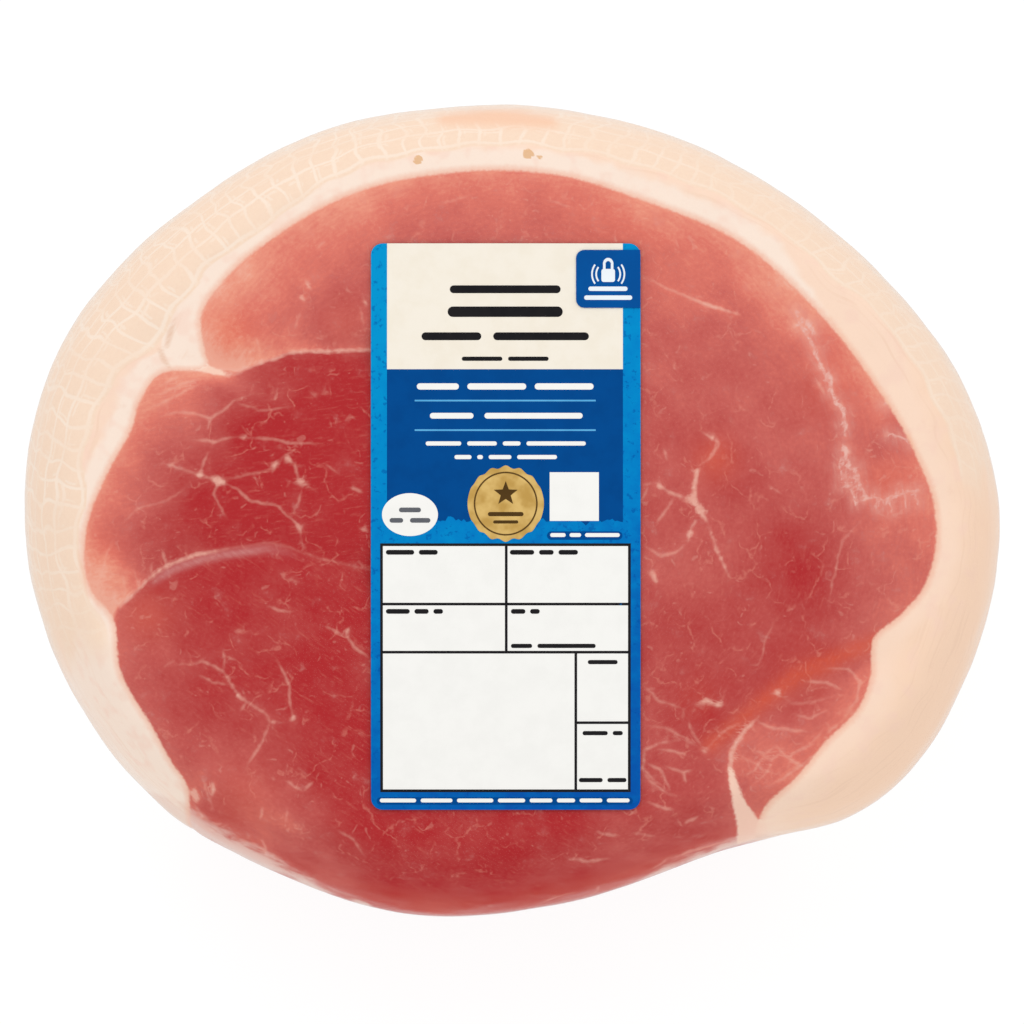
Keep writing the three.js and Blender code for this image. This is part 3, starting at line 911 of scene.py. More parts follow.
def sheet_share(x, y, sheets, grow=0, softness=0.6):
    """1 on strips of varying width, given as (half width, x, y) along each, and 0 a little way outside."""
    beyond = np.full(np.shape(x), np.inf)
    for sheet in sheets:
        for (wa, ax, ay), (wb, bx, by) in zip(sheet, sheet[1:]):
            length = math.hypot(bx - ax, by - ay)
            ux, uy = (bx - ax) / length, (by - ay) / length
            run = np.clip((x - ax) * ux + (y - ay) * uy, 0, length)
            gap = np.hypot(x - ax - run * ux, y - ay - run * uy)
            beyond = np.minimum(beyond, gap - wa - (wb - wa) * run / length)
    return smooth(softness, -softness, beyond - grow)


def inside_polygon(x, y, corners):
    """Signed distance to a closed outline, positive inside."""
    _, _, gap = along_line(x, y, [*corners, corners[0]])
    inside = np.zeros(np.shape(x), bool)
    for (ax, ay), (bx, by) in zip(corners, [*corners[1:], corners[0]]):
        crosses = (ay > y) != (by > y)
        with np.errstate(divide="ignore", invalid="ignore"):
            at = ax + (y - ay) * (bx - ax) / (by - ay)
        inside ^= crosses & (x < at)
    return np.where(inside, gap, -gap)


def patches(x, y, spots):
    """Soft round patches over one another, each as (x, y, size, change)."""
    return sum(change * np.exp(-((x - at_x) ** 2 + (y - at_y) ** 2) / size**2)
               for at_x, at_y, size, change in spots)


def redness(points):
    """Depth of the lean's red: 0 is pale salmon and 1 is deep red."""
    x, y, z = points.T
    inside = np.minimum(past_lean(points), 0)

    def rim(amount, reach):
        return amount * np.exp(inside / reach)

    # The outer muscle's pale patches at its crown are partly a painted highlight
    depth = OUTER_RED - rim(*OUTER_RIM) * (0.35 + 0.65 * smooth(-32, 24, y)) + patches(x, y, OUTER_PATCHES_AND_HIGHLIGHT)
    above_seam = np.exp(-((along_line(x, y, UPPER_SEAM)[2] / 4.5) ** 2)) * smooth(-22, -44, x)
    depth = depth - 0.30 * above_seam
    softness = 0.5 + 6 * smooth(-12, 4, x)
    for corners, base, edge, spots, soft in (
        (LEFT_MUSCLE, LEFT_RED, LEFT_RIM, LEFT_PATCHES, softness),
        (LOWER_MUSCLE, LOWER_RED, LOWER_RIM, LOWER_PATCHES, softness),
        (CORNER_MUSCLE, CORNER_RED, CORNER_RIM, CORNER_PATCHES, 1.2),
    ):
        share = smooth(-soft, soft, inside_polygon(x, y, corners))
        depth = depth * (1 - share) + share * (base - rim(*edge) + patches(x, y, spots))
    side = smooth(60, 30, z)
    return depth * (1 - 0.35 * side) + 0.26 * side + waves(points, RED_WAVES)


def silverskin(points):
    """Soft grey membranes: below the lower seam, and low on the bare wall."""
    x, y, z = points.T
    signed, place, _ = along_line(x, y, LOWER_SEAM)
    band = np.exp(-(((signed - 1.1) / 0.85) ** 2)) * smooth(8, 14, place) * (1 - smooth(30, 44, place))
    top = 30 + 9 * ripples(points * (1, 1, 0.2), 16, 44)
    wall = 0.35 * smooth(top + 9, top - 9, z) * smooth(0.0, 1.4, ripples(points * (1, 1, 0.3), 13, 42))
    return np.clip(np.maximum(0.8 * band, wall), 0, 1)


# Width of the whitish veil along the foot of the cut face, inward from the outline, by direction
foot_veil = around([
    (0, -2), (214, -2), (219, 3.0), (222, 5.4), (227, 5.4), (232, 5.2), (239, 3.9), (244, 2.8), (249, 1.5),
    (253, -1), (284, -1), (288, 0.8), (292, 2.2), (300, 2.7), (305, 3.2), (311, 1), (320, -2),
])


def veil(points):
    """The veil of fat and membrane where the bare lean rolls over at the foot."""
    direction, radius = polar(points[:, 0], points[:, 1])
    inward = outline(direction) - radius
    width = foot_veil(direction)
    reach = np.clip((width - inward) / np.maximum(width, 1), -0.5, 1)
    along_edge = smooth(-0.5, 4, width + 0.8 * ripples(points * (1, 1, 0.2), 7, 43))
    low_end = 35 + 8 * ripples(points * (1, 1, 0.15), 9, 47)
    return smooth(-0.25, 0.9, reach) * along_edge * smooth(low_end - 12, low_end + 10, points[:, 2])


def grain_place(points):
    """Coordinates along and across the fibres: round the middle outside, straight in the inner muscles."""
    x, y, _ = points.T
    direction, radius = polar(x, y)
    run, across = np.radians(np.mod(direction + 90, 360)) * 60, radius
    for corners, heading in ((LEFT_MUSCLE, 8), (LOWER_MUSCLE, -35), (CORNER_MUSCLE, 38)):
        inside = inside_polygon(x, y, corners) > 0
        turn = math.radians(heading)
        run = np.where(inside, x * math.cos(turn) + y * math.sin(turn), run)
        across = np.where(inside, y * math.cos(turn) - x * math.sin(turn), across)
    return run, across


def orange_glow(points):
    """Where the lean turns orange: in soft patches, along the corner seam and low on the wall. And the
    stains in the rind, which lie beyond the lean's strongest orange.
    """
    x, y, z = points.T
    seam = 0.85 * np.exp(-((along_line(x, y, ORANGE_SEAM)[2] / 1.9) ** 2))
    low = 0.65 * smooth(70, 48, z) * (0.55 + 0.45 * smooth(22, 44, z))
    lean_glow = np.minimum(patches(x, y, ORANGE_PATCHES) + seam + low, MOST_ORANGE)
    return np.clip(np.maximum(lean_glow, patches(x, y, STAINS)), 0, 1)


def set_vectors(mesh, name, *channels):
    layer = mesh.attributes.new(name, "FLOAT_VECTOR", "POINT")
    layer.data.foreach_set("vector", np.stack(channels, axis=1).astype(np.float32).ravel())


def paint_meat(mesh, layers):
    """Stores what the surface shader draws, at each vertex of a mesh in millimetres."""
    points = coordinates(mesh)
    x, y, z = points.T
    round_it, down = on_rind(points)
    direction = np.mod(np.degrees(np.arctan2(y, x)), 360)
    set_vectors(mesh, "net", *net_place(points))
    # Veins run on the cut faces in the plane, and on the bare wall round it and down
    on_wall = (z < WALL_HIGH) & (z > WALL_LOW)
    u = np.where(on_wall, round_it - WALL_FROM, x)
    v = np.where(on_wall, down - WALL_DOWN, y)
    neighbours = Neighbours(u, v)
    glow = np.zeros(len(points))
    for (name, (reach, _, _)), segments in zip(VEIN_LAYERS.items(), layers):
        way, width, halo = nearest_vein(u, v, segments, neighbours, reach)
        glow = np.maximum(glow, halo)
        set_vectors(mesh, name, way[:, 0], way[:, 1], width)
    # The web is the last layer, and the lean beside it is hazy
    haze = np.exp(-((np.hypot(way[:, 0], way[:, 1]) / 1.4) ** 2))
    past = past_lean(points)
    set_vectors(mesh, "meat", past, redness(points) - 0.18 * glow, silverskin(points))
    warm = smooth(50, 2, direction) + smooth(270, 290, direction)
    pale = smooth(186, 200, direction) * smooth(250, 235, direction)
    outward = past * (1 - 0.65 * pale) + 12 * warm - patches(x, y, PALE_FOLD)
    set_vectors(mesh, "rim", down, orange_glow(points), outward)
    fans = np.where(past > 0.3, sheet_share(x, y, FANS[:1], 0, 3.0), sheet_share(x, y, FANS))
    sheets = fans - sheet_share(x, y, FAT_FOLDS, 0, 1.0)
    tint = np.where(past > 0.3, sheet_share(x, y, PEACH_PLACE, 0.4, 1.6), haze)
    set_vectors(mesh, "soft", sheets * smooth(40, 55, z), tint * smooth(40, 55, z), veil(points))
    run, across = grain_place(points)
    set_vectors(mesh, "grain", run, across, z)


# ---------------------------------------------------------------------------------------------------------
# Materials
# ---------------------------------------------------------------------------------------------------------


def linear(red, green, blue):
    """A colour as a screen shows it, 0 to 255, as the shader's own numbers."""
    def one(value):
        value /= 255
        return value / 12.92 if value <= 0.04045 else ((value + 0.055) / 1.055) ** 2.4
    return one(red), one(green), one(blue), 1.0


class Value:
    """A number, place or colour that differs over a surface. Numbers take ordinary arithmetic."""

    def __init__(self, surface, socket):
        self.surface = surface
        self.socket = socket

    def __add__(self, other):
        return self.surface.math("ADD", self, other)

    def __sub__(self, other):
        return self.surface.math("SUBTRACT", self, other)

    def __mul__(self, other):
        return self.surface.math("MULTIPLY", self, other)


class Surface:
    """A material with short ways to add and join its nodes."""

    def __init__(self, name):
        self.material = bpy.data.materials.new(name)
        self.material.use_nodes = True
        self.nodes = self.material.node_tree.nodes
        self.links = self.material.node_tree.links
        self.shader = self.nodes["Principled BSDF"]
        self.output = self.nodes["Material Output"]

    def node(self, kind, inputs=(), **settings):
        """A new node with its settings, and what goes into its inputs as (name or number, value)."""
        made = self.nodes.new(kind)
        for name, value in settings.items():
            setattr(made, name, value)
        for name, value in inputs:
            self.feed(made.inputs[name], value)
        return made

    def feed(self, socket, value):
        if isinstance(value, Value):
            self.links.new(value.socket, socket)
        else:
            socket.default_value = value

    def math(self, operation, *values, clamp=False):
        made = self.node("ShaderNodeMath", enumerate(values), operation=operation, use_clamp=clamp)
        return Value(self, made.outputs[0])

    def step(self, low, high, value):
        """0 below low and 1 above high, softly, or the other way round where low is the larger."""
        ends = (high, low, 1, 0) if low > high else (low, high, 0, 1)
        made = self.node("ShaderNodeMapRange", [
            ("Value", value), *zip(("From Min", "From Max", "To Min", "To Max"), ends),
        ], interpolation_type="SMOOTHSTEP")
        return Value(self, made.outputs[0])

    def mix(self, share, first, second):
        made = self.node("ShaderNodeMix", [("Factor", share), ("A", first), ("B", second)], data_type="RGBA")
        return Value(self, made.outputs["Result"])

    def layered(self, colour, layers):
        """A colour with others laid over it in turn, each as (how strongly, colour)."""
        for share, over in layers:
            colour = self.mix(share, colour, over)
        return colour

    def split(self, vector):
        return [Value(self, socket) for socket in self.node("ShaderNodeSeparateXYZ", [(0, vector)]).outputs]

    def attribute(self, name):
        return Value(self, self.node("ShaderNodeAttribute", attribute_name=name).outputs["Vector"])

    def stretched(self, vector, scale, turn=0):
        """A place turned about Z and stretched."""
        made = self.node("ShaderNodeMapping", [
            ("Vector", vector), ("Rotation", (0, 0, math.radians(turn))), ("Scale", scale),
        ])
        return Value(self, made.outputs[0])

    def place(self, turn=0):
        """The surface's own coordinates in millimetres."""
        source = Value(self, self.node("ShaderNodeTexCoord").outputs["Object"])
        return self.stretched(source, [1 / MM] * 3, turn)

    def pushed(self, place, reach, by):
        """A place moved by the three values of a noise, up to a reach."""
        terms = enumerate((by, [reach] * 3, place))
        made = self.node("ShaderNodeVectorMath", terms, operation="MULTIPLY_ADD")
        return Value(self, made.outputs[0])

    def noise(self, vector, scale, detail, roughness=0.5):
        """Soft noise, as one number and as a colour of three."""
        made = self.node("ShaderNodeTexNoise", [
            ("Vector", vector), ("Scale", scale), ("Detail", detail), ("Roughness", roughness),
        ])
        return Value(self, made.outputs["Fac"]), Value(self, made.outputs["Color"])

    def cells(self, vector, size, outputs, **settings):
        """Irregular cells in the plane: the named outputs, with distances counted in cells."""
        inputs = [("Vector", vector), ("Scale", 1 / size)]
        made = self.node("ShaderNodeTexVoronoi", inputs, voronoi_dimensions="2D", **settings)
        return [Value(self, made.outputs[name]) for name in outputs]

    def ramp(self, value, stops):
        made = self.node("ShaderNodeValToRGB", [(0, value)])
        elements = made.color_ramp.elements
        while len(elements) < len(stops):
            elements.new(0.5)
        for element, (position, colour) in zip(elements, stops):
            element.position = position
            element.color = colour
        return Value(self, made.outputs[0])

    def bump(self, height, distance):
        """Fine relief, where height is in units of the given distance in millimetres."""
        made = self.node("ShaderNodeBump", [
            ("Height", height), ("Distance", distance * MM), ("Strength", 1),
        ])
        self.links.new(made.outputs[0], self.shader.inputs["Normal"])

    def finish(self, **values):
        for name, value in values.items():
            self.feed(self.shader.inputs[name.replace("_", " ").title().replace("Ior", "IOR")], value)
        return self.material


RED_STOPS = [
    (0.0, linear(239, 172, 150)), (0.12, linear(236, 153, 130)), (0.34, linear(222, 121, 106)),
    (0.58, linear(200, 99, 92)), (0.80, linear(185, 75, 72)), (1.0, linear(177, 47, 50)),
]
RED_FROM, RED_SPAN = 0.15, 0.85
VEIN_PALE = linear(237, 181, 163)
VEIN_FAINT = linear(229, 150, 132)
LACE = linear(234, 184, 172)
HAZE = linear(230, 164, 150)
ORANGE = linear(222, 94, 66)
TAN = linear(226, 176, 124)
FAT_PALE = linear(250, 229, 213)
FAT_WARM = linear(250, 219, 197)
FAT_DEEP = linear(249, 215, 189)
# Painted shade along the fine creases of the fat
FAT_CREASE_SHADE = linear(240, 205, 180)
FAT_FLUSH = linear(247, 211, 193)
RIND_PEACH = linear(247, 220, 197)
RIND_SHADE = linear(246, 218, 195)
NET_PALE = linear(250, 232, 215)
FAN_PALE = linear(249, 211, 190)
# Painted shade in the folds of the fat
FOLD_SHADE = linear(230, 190, 164)
FOOT_FAT = linear(231, 190, 170)
PEACH = linear(247, 204, 175)
BLUSH = linear(240, 176, 150)
SILVER = linear(206, 142, 138)
VEIL = linear(236, 202, 189)


def vein_mask(s, name, sway, softness, full, swell):
    """Where the stored veins of one layer run. Below a full half width they sink into the meat."""
    dx, dy, half = s.split(s.attribute(name))
    across, along = dx + sway[0], dy + sway[1]
    gap = s.math("SQRT", across * across + along * along)
    mask = s.math("MULTIPLY_ADD", half * swell - gap, 0.5 / softness, 0.5, clamp=True)
    return mask * s.step(0.0, full, half)


def fine_web(s, place, size, line):
    """Thin lines between irregular cells: 1 on them and 0 beyond the given distance in millimetres."""
    distance, = s.cells(place, size, ["Distance"], feature="DISTANCE_TO_EDGE")
    return s.step(line / size, 0.15 * line / size, distance)


def flecks_of_fat(s, place, size):
    """Tiny soft flecks, each of its own size, one to a cell."""
    distance, colour = s.cells(place, size, ["Distance", "Color"], feature="F1")
    own, _, _ = s.split(colour)
    return s.step(-0.04, 0.08, own * 0.16 - distance)


def shared_fields(s):
    """What lean, fat and rind are drawn by: the values stored at the vertices, and soft noises."""
    at = SimpleNamespace()
    at.past, at.depth, at.silver = s.split(s.attribute("meat"))
    at.down, at.orange, at.outward = s.split(s.attribute("rim"))
    at.across, at.along, at.strength = s.split(s.attribute("net"))
    at.sheet, at.tint, veil_share = s.split(s.attribute("soft"))
    place = s.place()
    at.fine, speckle = s.noise(place, 1.15, 2.0, 0.62)
    at.sway_x, at.sway_y, at.third = s.split(speckle)
    at.cloud, broad = s.noise(place, 0.28, 1.5)
    at.drift, at.cover, at.other_cover = s.split(broad)
    at.grain, _ = s.noise(s.stretched(s.attribute("grain"), (0.36, 1.5, 0.3)), 1.0, 2.0, 0.6)
    # The place, pushed about so that cells have no straight edges
    at.warped = s.pushed(s.pushed(place, 7, broad), 0.7, speckle)
    # The veil at the foot, with ragged lobes, and the sheets of fat, with an uneven edge
    lobes = at.cloud * 0.9 + at.fine * 0.6 - 0.75
    at.misty = s.step(0.08, 0.78, veil_share + lobes)
    at.veiled = at.misty * (veil_share * 0.45 + 0.45)
    at.fanned = s.step(0.10, 0.80, at.sheet + at.fine * 0.8 - 0.45)
    return at


def stored_veins(s, at):
    """Masks of the thick and thin veins, the twigs and the web, with uneven edges."""
    sway = [wide * 0.5 + tight * 0.24 - 0.37 for wide, tight in
            ((at.drift, at.sway_x), (at.other_cover, at.sway_y))]
    swell = at.third * 1.3 + 0.35
    return [
        vein_mask(s, name, sway, softness, full, swell)
        for name, (_, softness, full) in VEIN_LAYERS.items()
    ]


def lean_colour(s, at):
    """Lean: its depth of red, a little mottled, with a faint web, flecks, veins and sheets of fat."""
    mottle = at.grain * 0.24 + at.fine * 0.28 - 0.26
    red = s.ramp((at.depth + mottle) * RED_SPAN + RED_FROM, RED_STOPS)
    # Threads and flecks of fat are drawn on the cut face alone
    on_face = s.step(14.0, 6.0, at.down)
    threads = fine_web(s, at.warped, 7.5, 0.40) * s.step(0.46, 0.60, at.cover) * s.step(0.30, 0.62, at.third)
    flecks = flecks_of_fat(s, at.warped, 3.0) * s.step(0.40, 0.62, at.other_cover)
    thick, thin, twigs, web = stored_veins(s, at)
    faint = s.math("MAXIMUM", thin * 0.44, twigs * s.step(0.36, 0.62, at.cover) * 0.22)
    return s.layered(red, [
        (at.orange * (at.fine * 0.7 + 0.2), ORANGE),
        (s.step(0.50, 0.90, at.grain) * 0.24, VEIN_FAINT),
        (threads * on_face * 0.30, VEIN_FAINT),
        (flecks * on_face * 0.18, VEIN_PALE),
        (at.silver * (at.grain * 0.9 + 0.25), SILVER),
        (at.tint * (at.grain * 0.8 - 0.05), HAZE),
        (faint, VEIN_PALE),
        (web * (s.step(0.35, 0.60, at.fine) * 0.6 + 0.3), LACE),
        (thick * (at.fine * 0.7 + 0.36), VEIN_PALE),
        (at.veiled, VEIL),
        (at.fanned * 0.9, FAN_PALE),
    ])


def net_threads(s, at):
    """The lines that the net left, some of them double: 1 on them and 0 between."""
    uneven = at.fine * 0.4 - 0.2
    threads = 0.0
    for coordinate, size in ((at.across, NET_WIDTH), (at.along, NET_HEIGHT)):
        gap, beside = (s.math("PINGPONG", line, 0.5) * size + uneven for line in
                       (coordinate, coordinate + 0.24))
        double = s.step(0.42, 0.16, beside) * s.step(0.50, 0.58, at.cover)
        for thread in (s.step(0.56, 0.18, gap), double * 0.7):
            threads = s.math("MAXIMUM", threads, thread)
    return threads


def fat_colour(s, at):
    """Fat, pale beside the lean and peach further out, with painted shade in fine creases, and the rind with
    its lines.
    """
    crease_shading, _ = s.noise(s.stretched(s.attribute("net"), (0.22, 4.6, 0)), 1.0, 1, 0.55)
    outward = at.outward + at.cloud * 3.0 - 1.5
    rind = s.layered(RIND_PEACH, [
        (s.step(0.38, 0.64, at.fine), RIND_SHADE),
        (net_threads(s, at) * at.strength * 0.78, NET_PALE),
    ])
    return s.layered(FAT_PALE, [
        (s.step(3.4, 5.4, outward), FAT_WARM),
        (s.step(13.5, 20.0, outward), FAT_DEEP),
        # Painted shade: darker lines along the fat's fine creases
        (s.step(0.54, 0.70, crease_shading) * s.step(3.0, 6.0, at.past) * 0.42, FAT_CREASE_SHADE),
        (s.step(0.48, 0.70, at.other_cover) * s.step(11.0, 7.0, at.past) * 0.45, FAT_FLUSH),
        # Painted shade in the folds of the fat
        (s.step(-0.25, -0.9, at.sheet) * 0.7, FOLD_SHADE),
        (at.fanned * 0.9, FAN_PALE),
        (at.misty * 0.5, FOOT_FAT),
        (s.step(0.0, 0.3, at.strength), rind),
        (at.tint, PEACH),
        (s.step(MOST_ORANGE, 1.0, at.orange) * 0.8, TAN),
    ])


def meat(name):
    """Cured lean, its fat and the rind, with a soft border between lean and fat."""
    s = Surface(name)
    at = shared_fields(s)
    border = at.past + at.fine * 0.7 - 0.35
    blushing = s.step(1.6, 0.0, border) * s.step(0.5, 0.1, at.sheet) * 0.6
    fat = s.mix(blushing, fat_colour(s, at), BLUSH)
    s.bump(at.fine, 0.06)
    return s.finish(
        Base_Color=s.mix(s.step(-0.35, 0.30, border), lean_colour(s, at), fat),
        Roughness=0.5, Specular_IOR_Level=0.0,
    )


FILM_SHEEN = 0.05
FILM_RIM = 0.38


def film_surface():
    """Thin clear film: all but invisible from above, with a soft sheen where it turns away."""
    s = Surface("clear_film")
    gloss = s.node("ShaderNodeBsdfGlossy", [("Roughness", 0.18)])
    clear = s.node("ShaderNodeBsdfTransparent")
    fresnel = Value(s, s.node("ShaderNodeFresnel", [("IOR", 1.38)]).outputs[0])
    sheen = fresnel * FILM_SHEEN + s.step(0.16, 0.85, fresnel) * FILM_RIM
    mixer = s.node("ShaderNodeMixShader", [(0, sheen)])
    s.links.new(clear.outputs[0], mixer.inputs[1])
    s.links.new(gloss.outputs[0], mixer.inputs[2])
    s.links.new(mixer.outputs[0], s.output.inputs["Surface"])
    s.nodes.remove(s.shader)
    return s.material


PAPER_GRAIN = 0.012


def paper_finish(s, ink):
    """Smooth coated paper with a fine grain, in an ink."""
    s.bump(s.noise(s.place(), 3.2, 2, 0.6)[0], PAPER_GRAIN)
    return s.finish(Base_Color=ink, Roughness=0.48, Specular_IOR_Level=0.03)


def paper(name, colour, shade):
    """Printed label paper: a field of ink with faint unevenness, from two colours as a screen shows them."""
    s = Surface(name)
    cloud, _ = s.noise(s.place(), 0.22, 3, 0.6)
    return paper_finish(s, s.mix(s.step(0.35, 0.7, cloud), linear(*colour), linear(*shade)))


BORDER_BLUES = [
    (0.0, linear(0, 148, 208)), (0.45, linear(0, 127, 198)), (0.75, linear(2, 100, 180)),
    (1.0, linear(5, 83, 170)),
]
BORDER_BLOTS = linear(0, 72, 156)


def border_paper():
    """The label's blue border: a watercolour wash, lighter at the top left, with small dark blots."""
    s = Surface("border_blue")
    x, y, _ = s.split(s.place())
    cloud, _ = s.noise(s.place(), 0.30, 4, 0.65)
    wash = s.ramp(x * 0.004 + y * -0.0085 + cloud * 0.7 + 0.07, BORDER_BLUES)
    blots = s.step(0.57, 0.66, s.noise(s.place(), 0.85, 3, 0.66)[0])
    return paper_finish(s, s.mix(blots * 0.5, wash, BORDER_BLOTS))


def gold_ink(name):
    """Brushed gold ink."""
    s = Surface(name)
    brushed, _ = s.noise(s.place(30), 0.35, 2, 0.5)
    ink = s.mix(s.step(0.3, 0.7, brushed), linear(222, 186, 112), linear(192, 152, 76))
    return s.finish(Base_Color=ink, Roughness=0.4, Specular_IOR_Level=0.15)


# ---------------------------------------------------------------------------------------------------------
# The joint
# ---------------------------------------------------------------------------------------------------------


def settle(piece, material, replaced=()):
    """Finishes a piece that was made in millimetres: metres, smooth faces, material, body and slot."""
    move_vertices(piece.data, coordinates(piece.data) * MM)
    piece.data.shade_smooth()
    piece.data.set_sharp_from_angle(angle=math.radians(55))
    piece.data.materials.clear()
    piece.data.materials.append(material)
    if replaced:
        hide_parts(*replaced)
    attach(piece, "root")


# The lowest height of the meat, the film's distance from it, and how far the film's folds stand out
MEAT_BASE = 0.08
FILM_GAP = 0.10
FOLD_HEIGHT = 0.5


def relieved(rings, name, netted=True):
    """A closed skin with the meat's relief on it."""
    whole = mesh_object(name, *closed_skin(rings))
    points = coordinates(whole.data)
    normals = vertex_normals(whole.data)
    points = points + normals * relief(points, normals, netted)[:, None]
    points[:, 2] = np.maximum(points[:, 2], MEAT_BASE)
    move_vertices(whole.data, points)
    return whole


def make_joint():
    """The lean and the rind with its fat, cut from one skin so that they meet without a gap."""
    # Steps down the side are fine below the rim, where the net's marks are, and grow further down
    side_steps = np.concatenate([np.full(44, 0.5), np.linspace(0.6, 1.4, 40)])
    rings = skin_rings(full=960, face_step=0.55, side_steps=side_steps, lower_step=1.6, back_step=2.4)
    whole = relieved(rings, "whole")
    column = lean_column()
    lean = cut(whole, column, "INTERSECT", "cured_lean")
    rind = cut(whole, column, "DIFFERENCE", "rind_and_fat_layer")
    for spare in (whole, column):
        bpy.data.objects.remove(spare)
    layers = marbling()
    for piece in (lean, rind):
        paint_meat(piece.data, layers)
    settle(lean, meat("lean_under_film"), ["lean"])
    settle(rind, meat("rind_under_film"), ["rind_and_fat"])


def make_film():
    """Clear film on the whole joint: tight on the cut face, with small folds low on the sides."""
    rings = skin_rings(full=480, face_step=1.1, side_steps=np.full(60, 1.3), lower_step=2.2, back_step=6)
    film = relieved(rings, "clear_film_bag", netted=False)
    points = coordinates(film.data)
    normals = vertex_normals(film.data)
    low = smooth(34, 22, points[:, 2]) * smooth(1, 5, points[:, 2])
    ridged = np.clip(1 - np.abs(ripples(points * (1, 1, 0.25), 9, 61)), 0, 1)
    lift = FILM_GAP + FOLD_HEIGHT * low * ridged**3
    points = points + normals * lift[:, None]
    points[:, 2] = np.maximum(points[:, 2], 0)
    move_vertices(film.data, points)
    settle(film, film_surface())
    film.visible_shadow = False
    film.visible_diffuse = False


# ---------------------------------------------------------------------------------------------------------
# The label
# ---------------------------------------------------------------------------------------------------------


def label_height(x, y):
    """Height of the face that the label bridges."""
    return front_height(np.asarray(x, float), np.asarray(y, float), 0)


# The longest that a printed shape runs up the label without a row of points on the way
ROW_STEP = 5.0


class Print:
    """Thin printed shapes that follow the label, gathered into one mesh for each ink."""

    def __init__(self, x, y):
        self.x = x
        self.y = y
        self.vertices = []
        self.faces = []

    def strip(self, columns, low, high, bottom, top):
        """A slab between two edges given at each column, from one level above the face to another."""
        rows = max(1, math.ceil(max(h - l for l, h in zip(low, high)) / ROW_STEP))
        start = len(self.vertices)
        for level in (bottom, top):
            for x, l, h in zip(columns, low, high):
                for k in range(rows + 1):
                    at_x, at_y = self.x + x, self.y + l + (h - l) * k / rows
                    self.vertices.append((at_x, at_y, float(label_height(at_x, at_y)) + level))
        layer = len(columns) * (rows + 1)

        def at(column, row, upper):
            return start + upper * layer + column * (rows + 1) + row

        last = len(columns) - 1
        for c in range(last):
            for r in range(rows):
                self.faces.append((at(c, r, 1), at(c + 1, r, 1), at(c + 1, r + 1, 1), at(c, r + 1, 1)))
                self.faces.append((at(c, r, 0), at(c, r + 1, 0), at(c + 1, r + 1, 0), at(c + 1, r, 0)))
            self.faces.append((at(c, 0, 0), at(c + 1, 0, 0), at(c + 1, 0, 1), at(c, 0, 1)))
            self.faces.append((at(c, rows, 1), at(c + 1, rows, 1), at(c + 1, rows, 0), at(c, rows, 0)))
        for r in range(rows):
            self.faces.append((at(0, r, 0), at(0, r, 1), at(0, r + 1, 1), at(0, r + 1, 0)))
            self.faces.append((at(last, r, 0), at(last, r + 1, 0), at(last, r + 1, 1), at(last, r, 1)))

    def rectangle(self, left, right, low, high, bottom, top, corners=(0, 0, 0, 0)):
        """A rectangle whose corners, from the lower left counter-clockwise, have their own radii."""
        lower_left, lower_right, upper_right, upper_left = corners
        bends = [bend for bend in corners if bend]
        turns = np.radians(np.linspace(0, 90, 7))
        columns = set(np.linspace(left, right, max(2, math.ceil((right - left) / 4) + 1)).round(4))
        for bend in bends:
            columns.update((left + bend * (1 - np.sin(turns))).round(4))
            columns.update((right - bend * (1 - np.sin(turns))).round(4))
        columns = sorted(columns)

        def dip(x, left_bend, right_bend):
            from_left, from_right = x - left, right - x
            for gap, bend in ((from_left, left_bend), (from_right, right_bend)):
                if bend and gap < bend:
                    return bend - math.sqrt(max(bend**2 - (bend - gap) ** 2, 0))
            return 0.0

        lows = [low + dip(x, lower_left, lower_right) for x in columns]
        highs = [high - dip(x, upper_left, upper_right) for x in columns]
        self.strip(columns, lows, highs, bottom, top)

    def ellipse(self, x, y, half_width, half_height, bottom, top, edge=lambda turn: 1.0, steps=40):
        """An oval, or a rosette where edge varies its radius with the direction in radians."""
        turns = [math.pi * (1 - k / steps) for k in range(steps + 1)]
        columns = [x + half_width * math.cos(turn) for turn in turns]
        highs = [y + half_height * edge(turn) * math.sin(turn) for turn in turns]
        lows = [y - half_height * edge(-turn) * math.sin(turn) for turn in turns]
        self.strip(columns, lows, highs, bottom, top)

    def bar(self, left, right, middle, height, bottom, top):
        """A bar with round ends that stands for a word."""
        bend = height / 2
        self.rectangle(left, right, middle - bend, middle + bend, bottom, top, (bend, bend, bend, bend))

    def words(self, left, right, middle, height, lengths, bottom, top):
        """A line of text as plain bars: one for each word, by its number of letters."""
        unit = (right - left) / (sum(lengths) + len(lengths) - 1)
        at = left
        for length in lengths:
            self.bar(at, at + unit * length, middle, height, bottom, top)
            at += unit * (length + 1)

    def make(self, name, material, replaced=()):
        settle(mesh_object(name, self.vertices, self.faces), material, replaced)


INK = 0.02
# Layers of ink, each as its bottom and its top above the meat
PANEL = (LABEL_LIFT + LABEL_THICKNESS, LABEL_LIFT + LABEL_THICKNESS + INK)
OVER_PANEL = (PANEL[1], PANEL[1] + INK)
ON_TOP = (OVER_PANEL[1], OVER_PANEL[1] + INK)
OVER_RING = (ON_TOP[1], ON_TOP[1] + INK)
ON_SEAL = (ON_TOP[1] + INK, ON_TOP[1] + 2 * INK)

PANEL_LEFT, PANEL_RIGHT = -22.7, 22.4
CREAM_LOW, NAVY_LOW = 30.1, 1.1
# The table at the foot, as (left, right, low, high), the width of its rules, and its cells between them
TABLE = (-24.0, 23.9, -50.8, -3.2)
RULE = 0.52
CELLS = [
    (-24.0, 0.1, -14.8, -3.2), (0.1, 23.9, -14.8, -3.2),
    (-24.0, 0.1, -24.0, -14.8), (0.1, 23.9, -24.0, -14.8),
    (-24.0, 13.4, -50.8, -24.0), (13.4, 23.9, -37.5, -24.0),
    (13.4, 23.9, -50.8, -37.5),
]
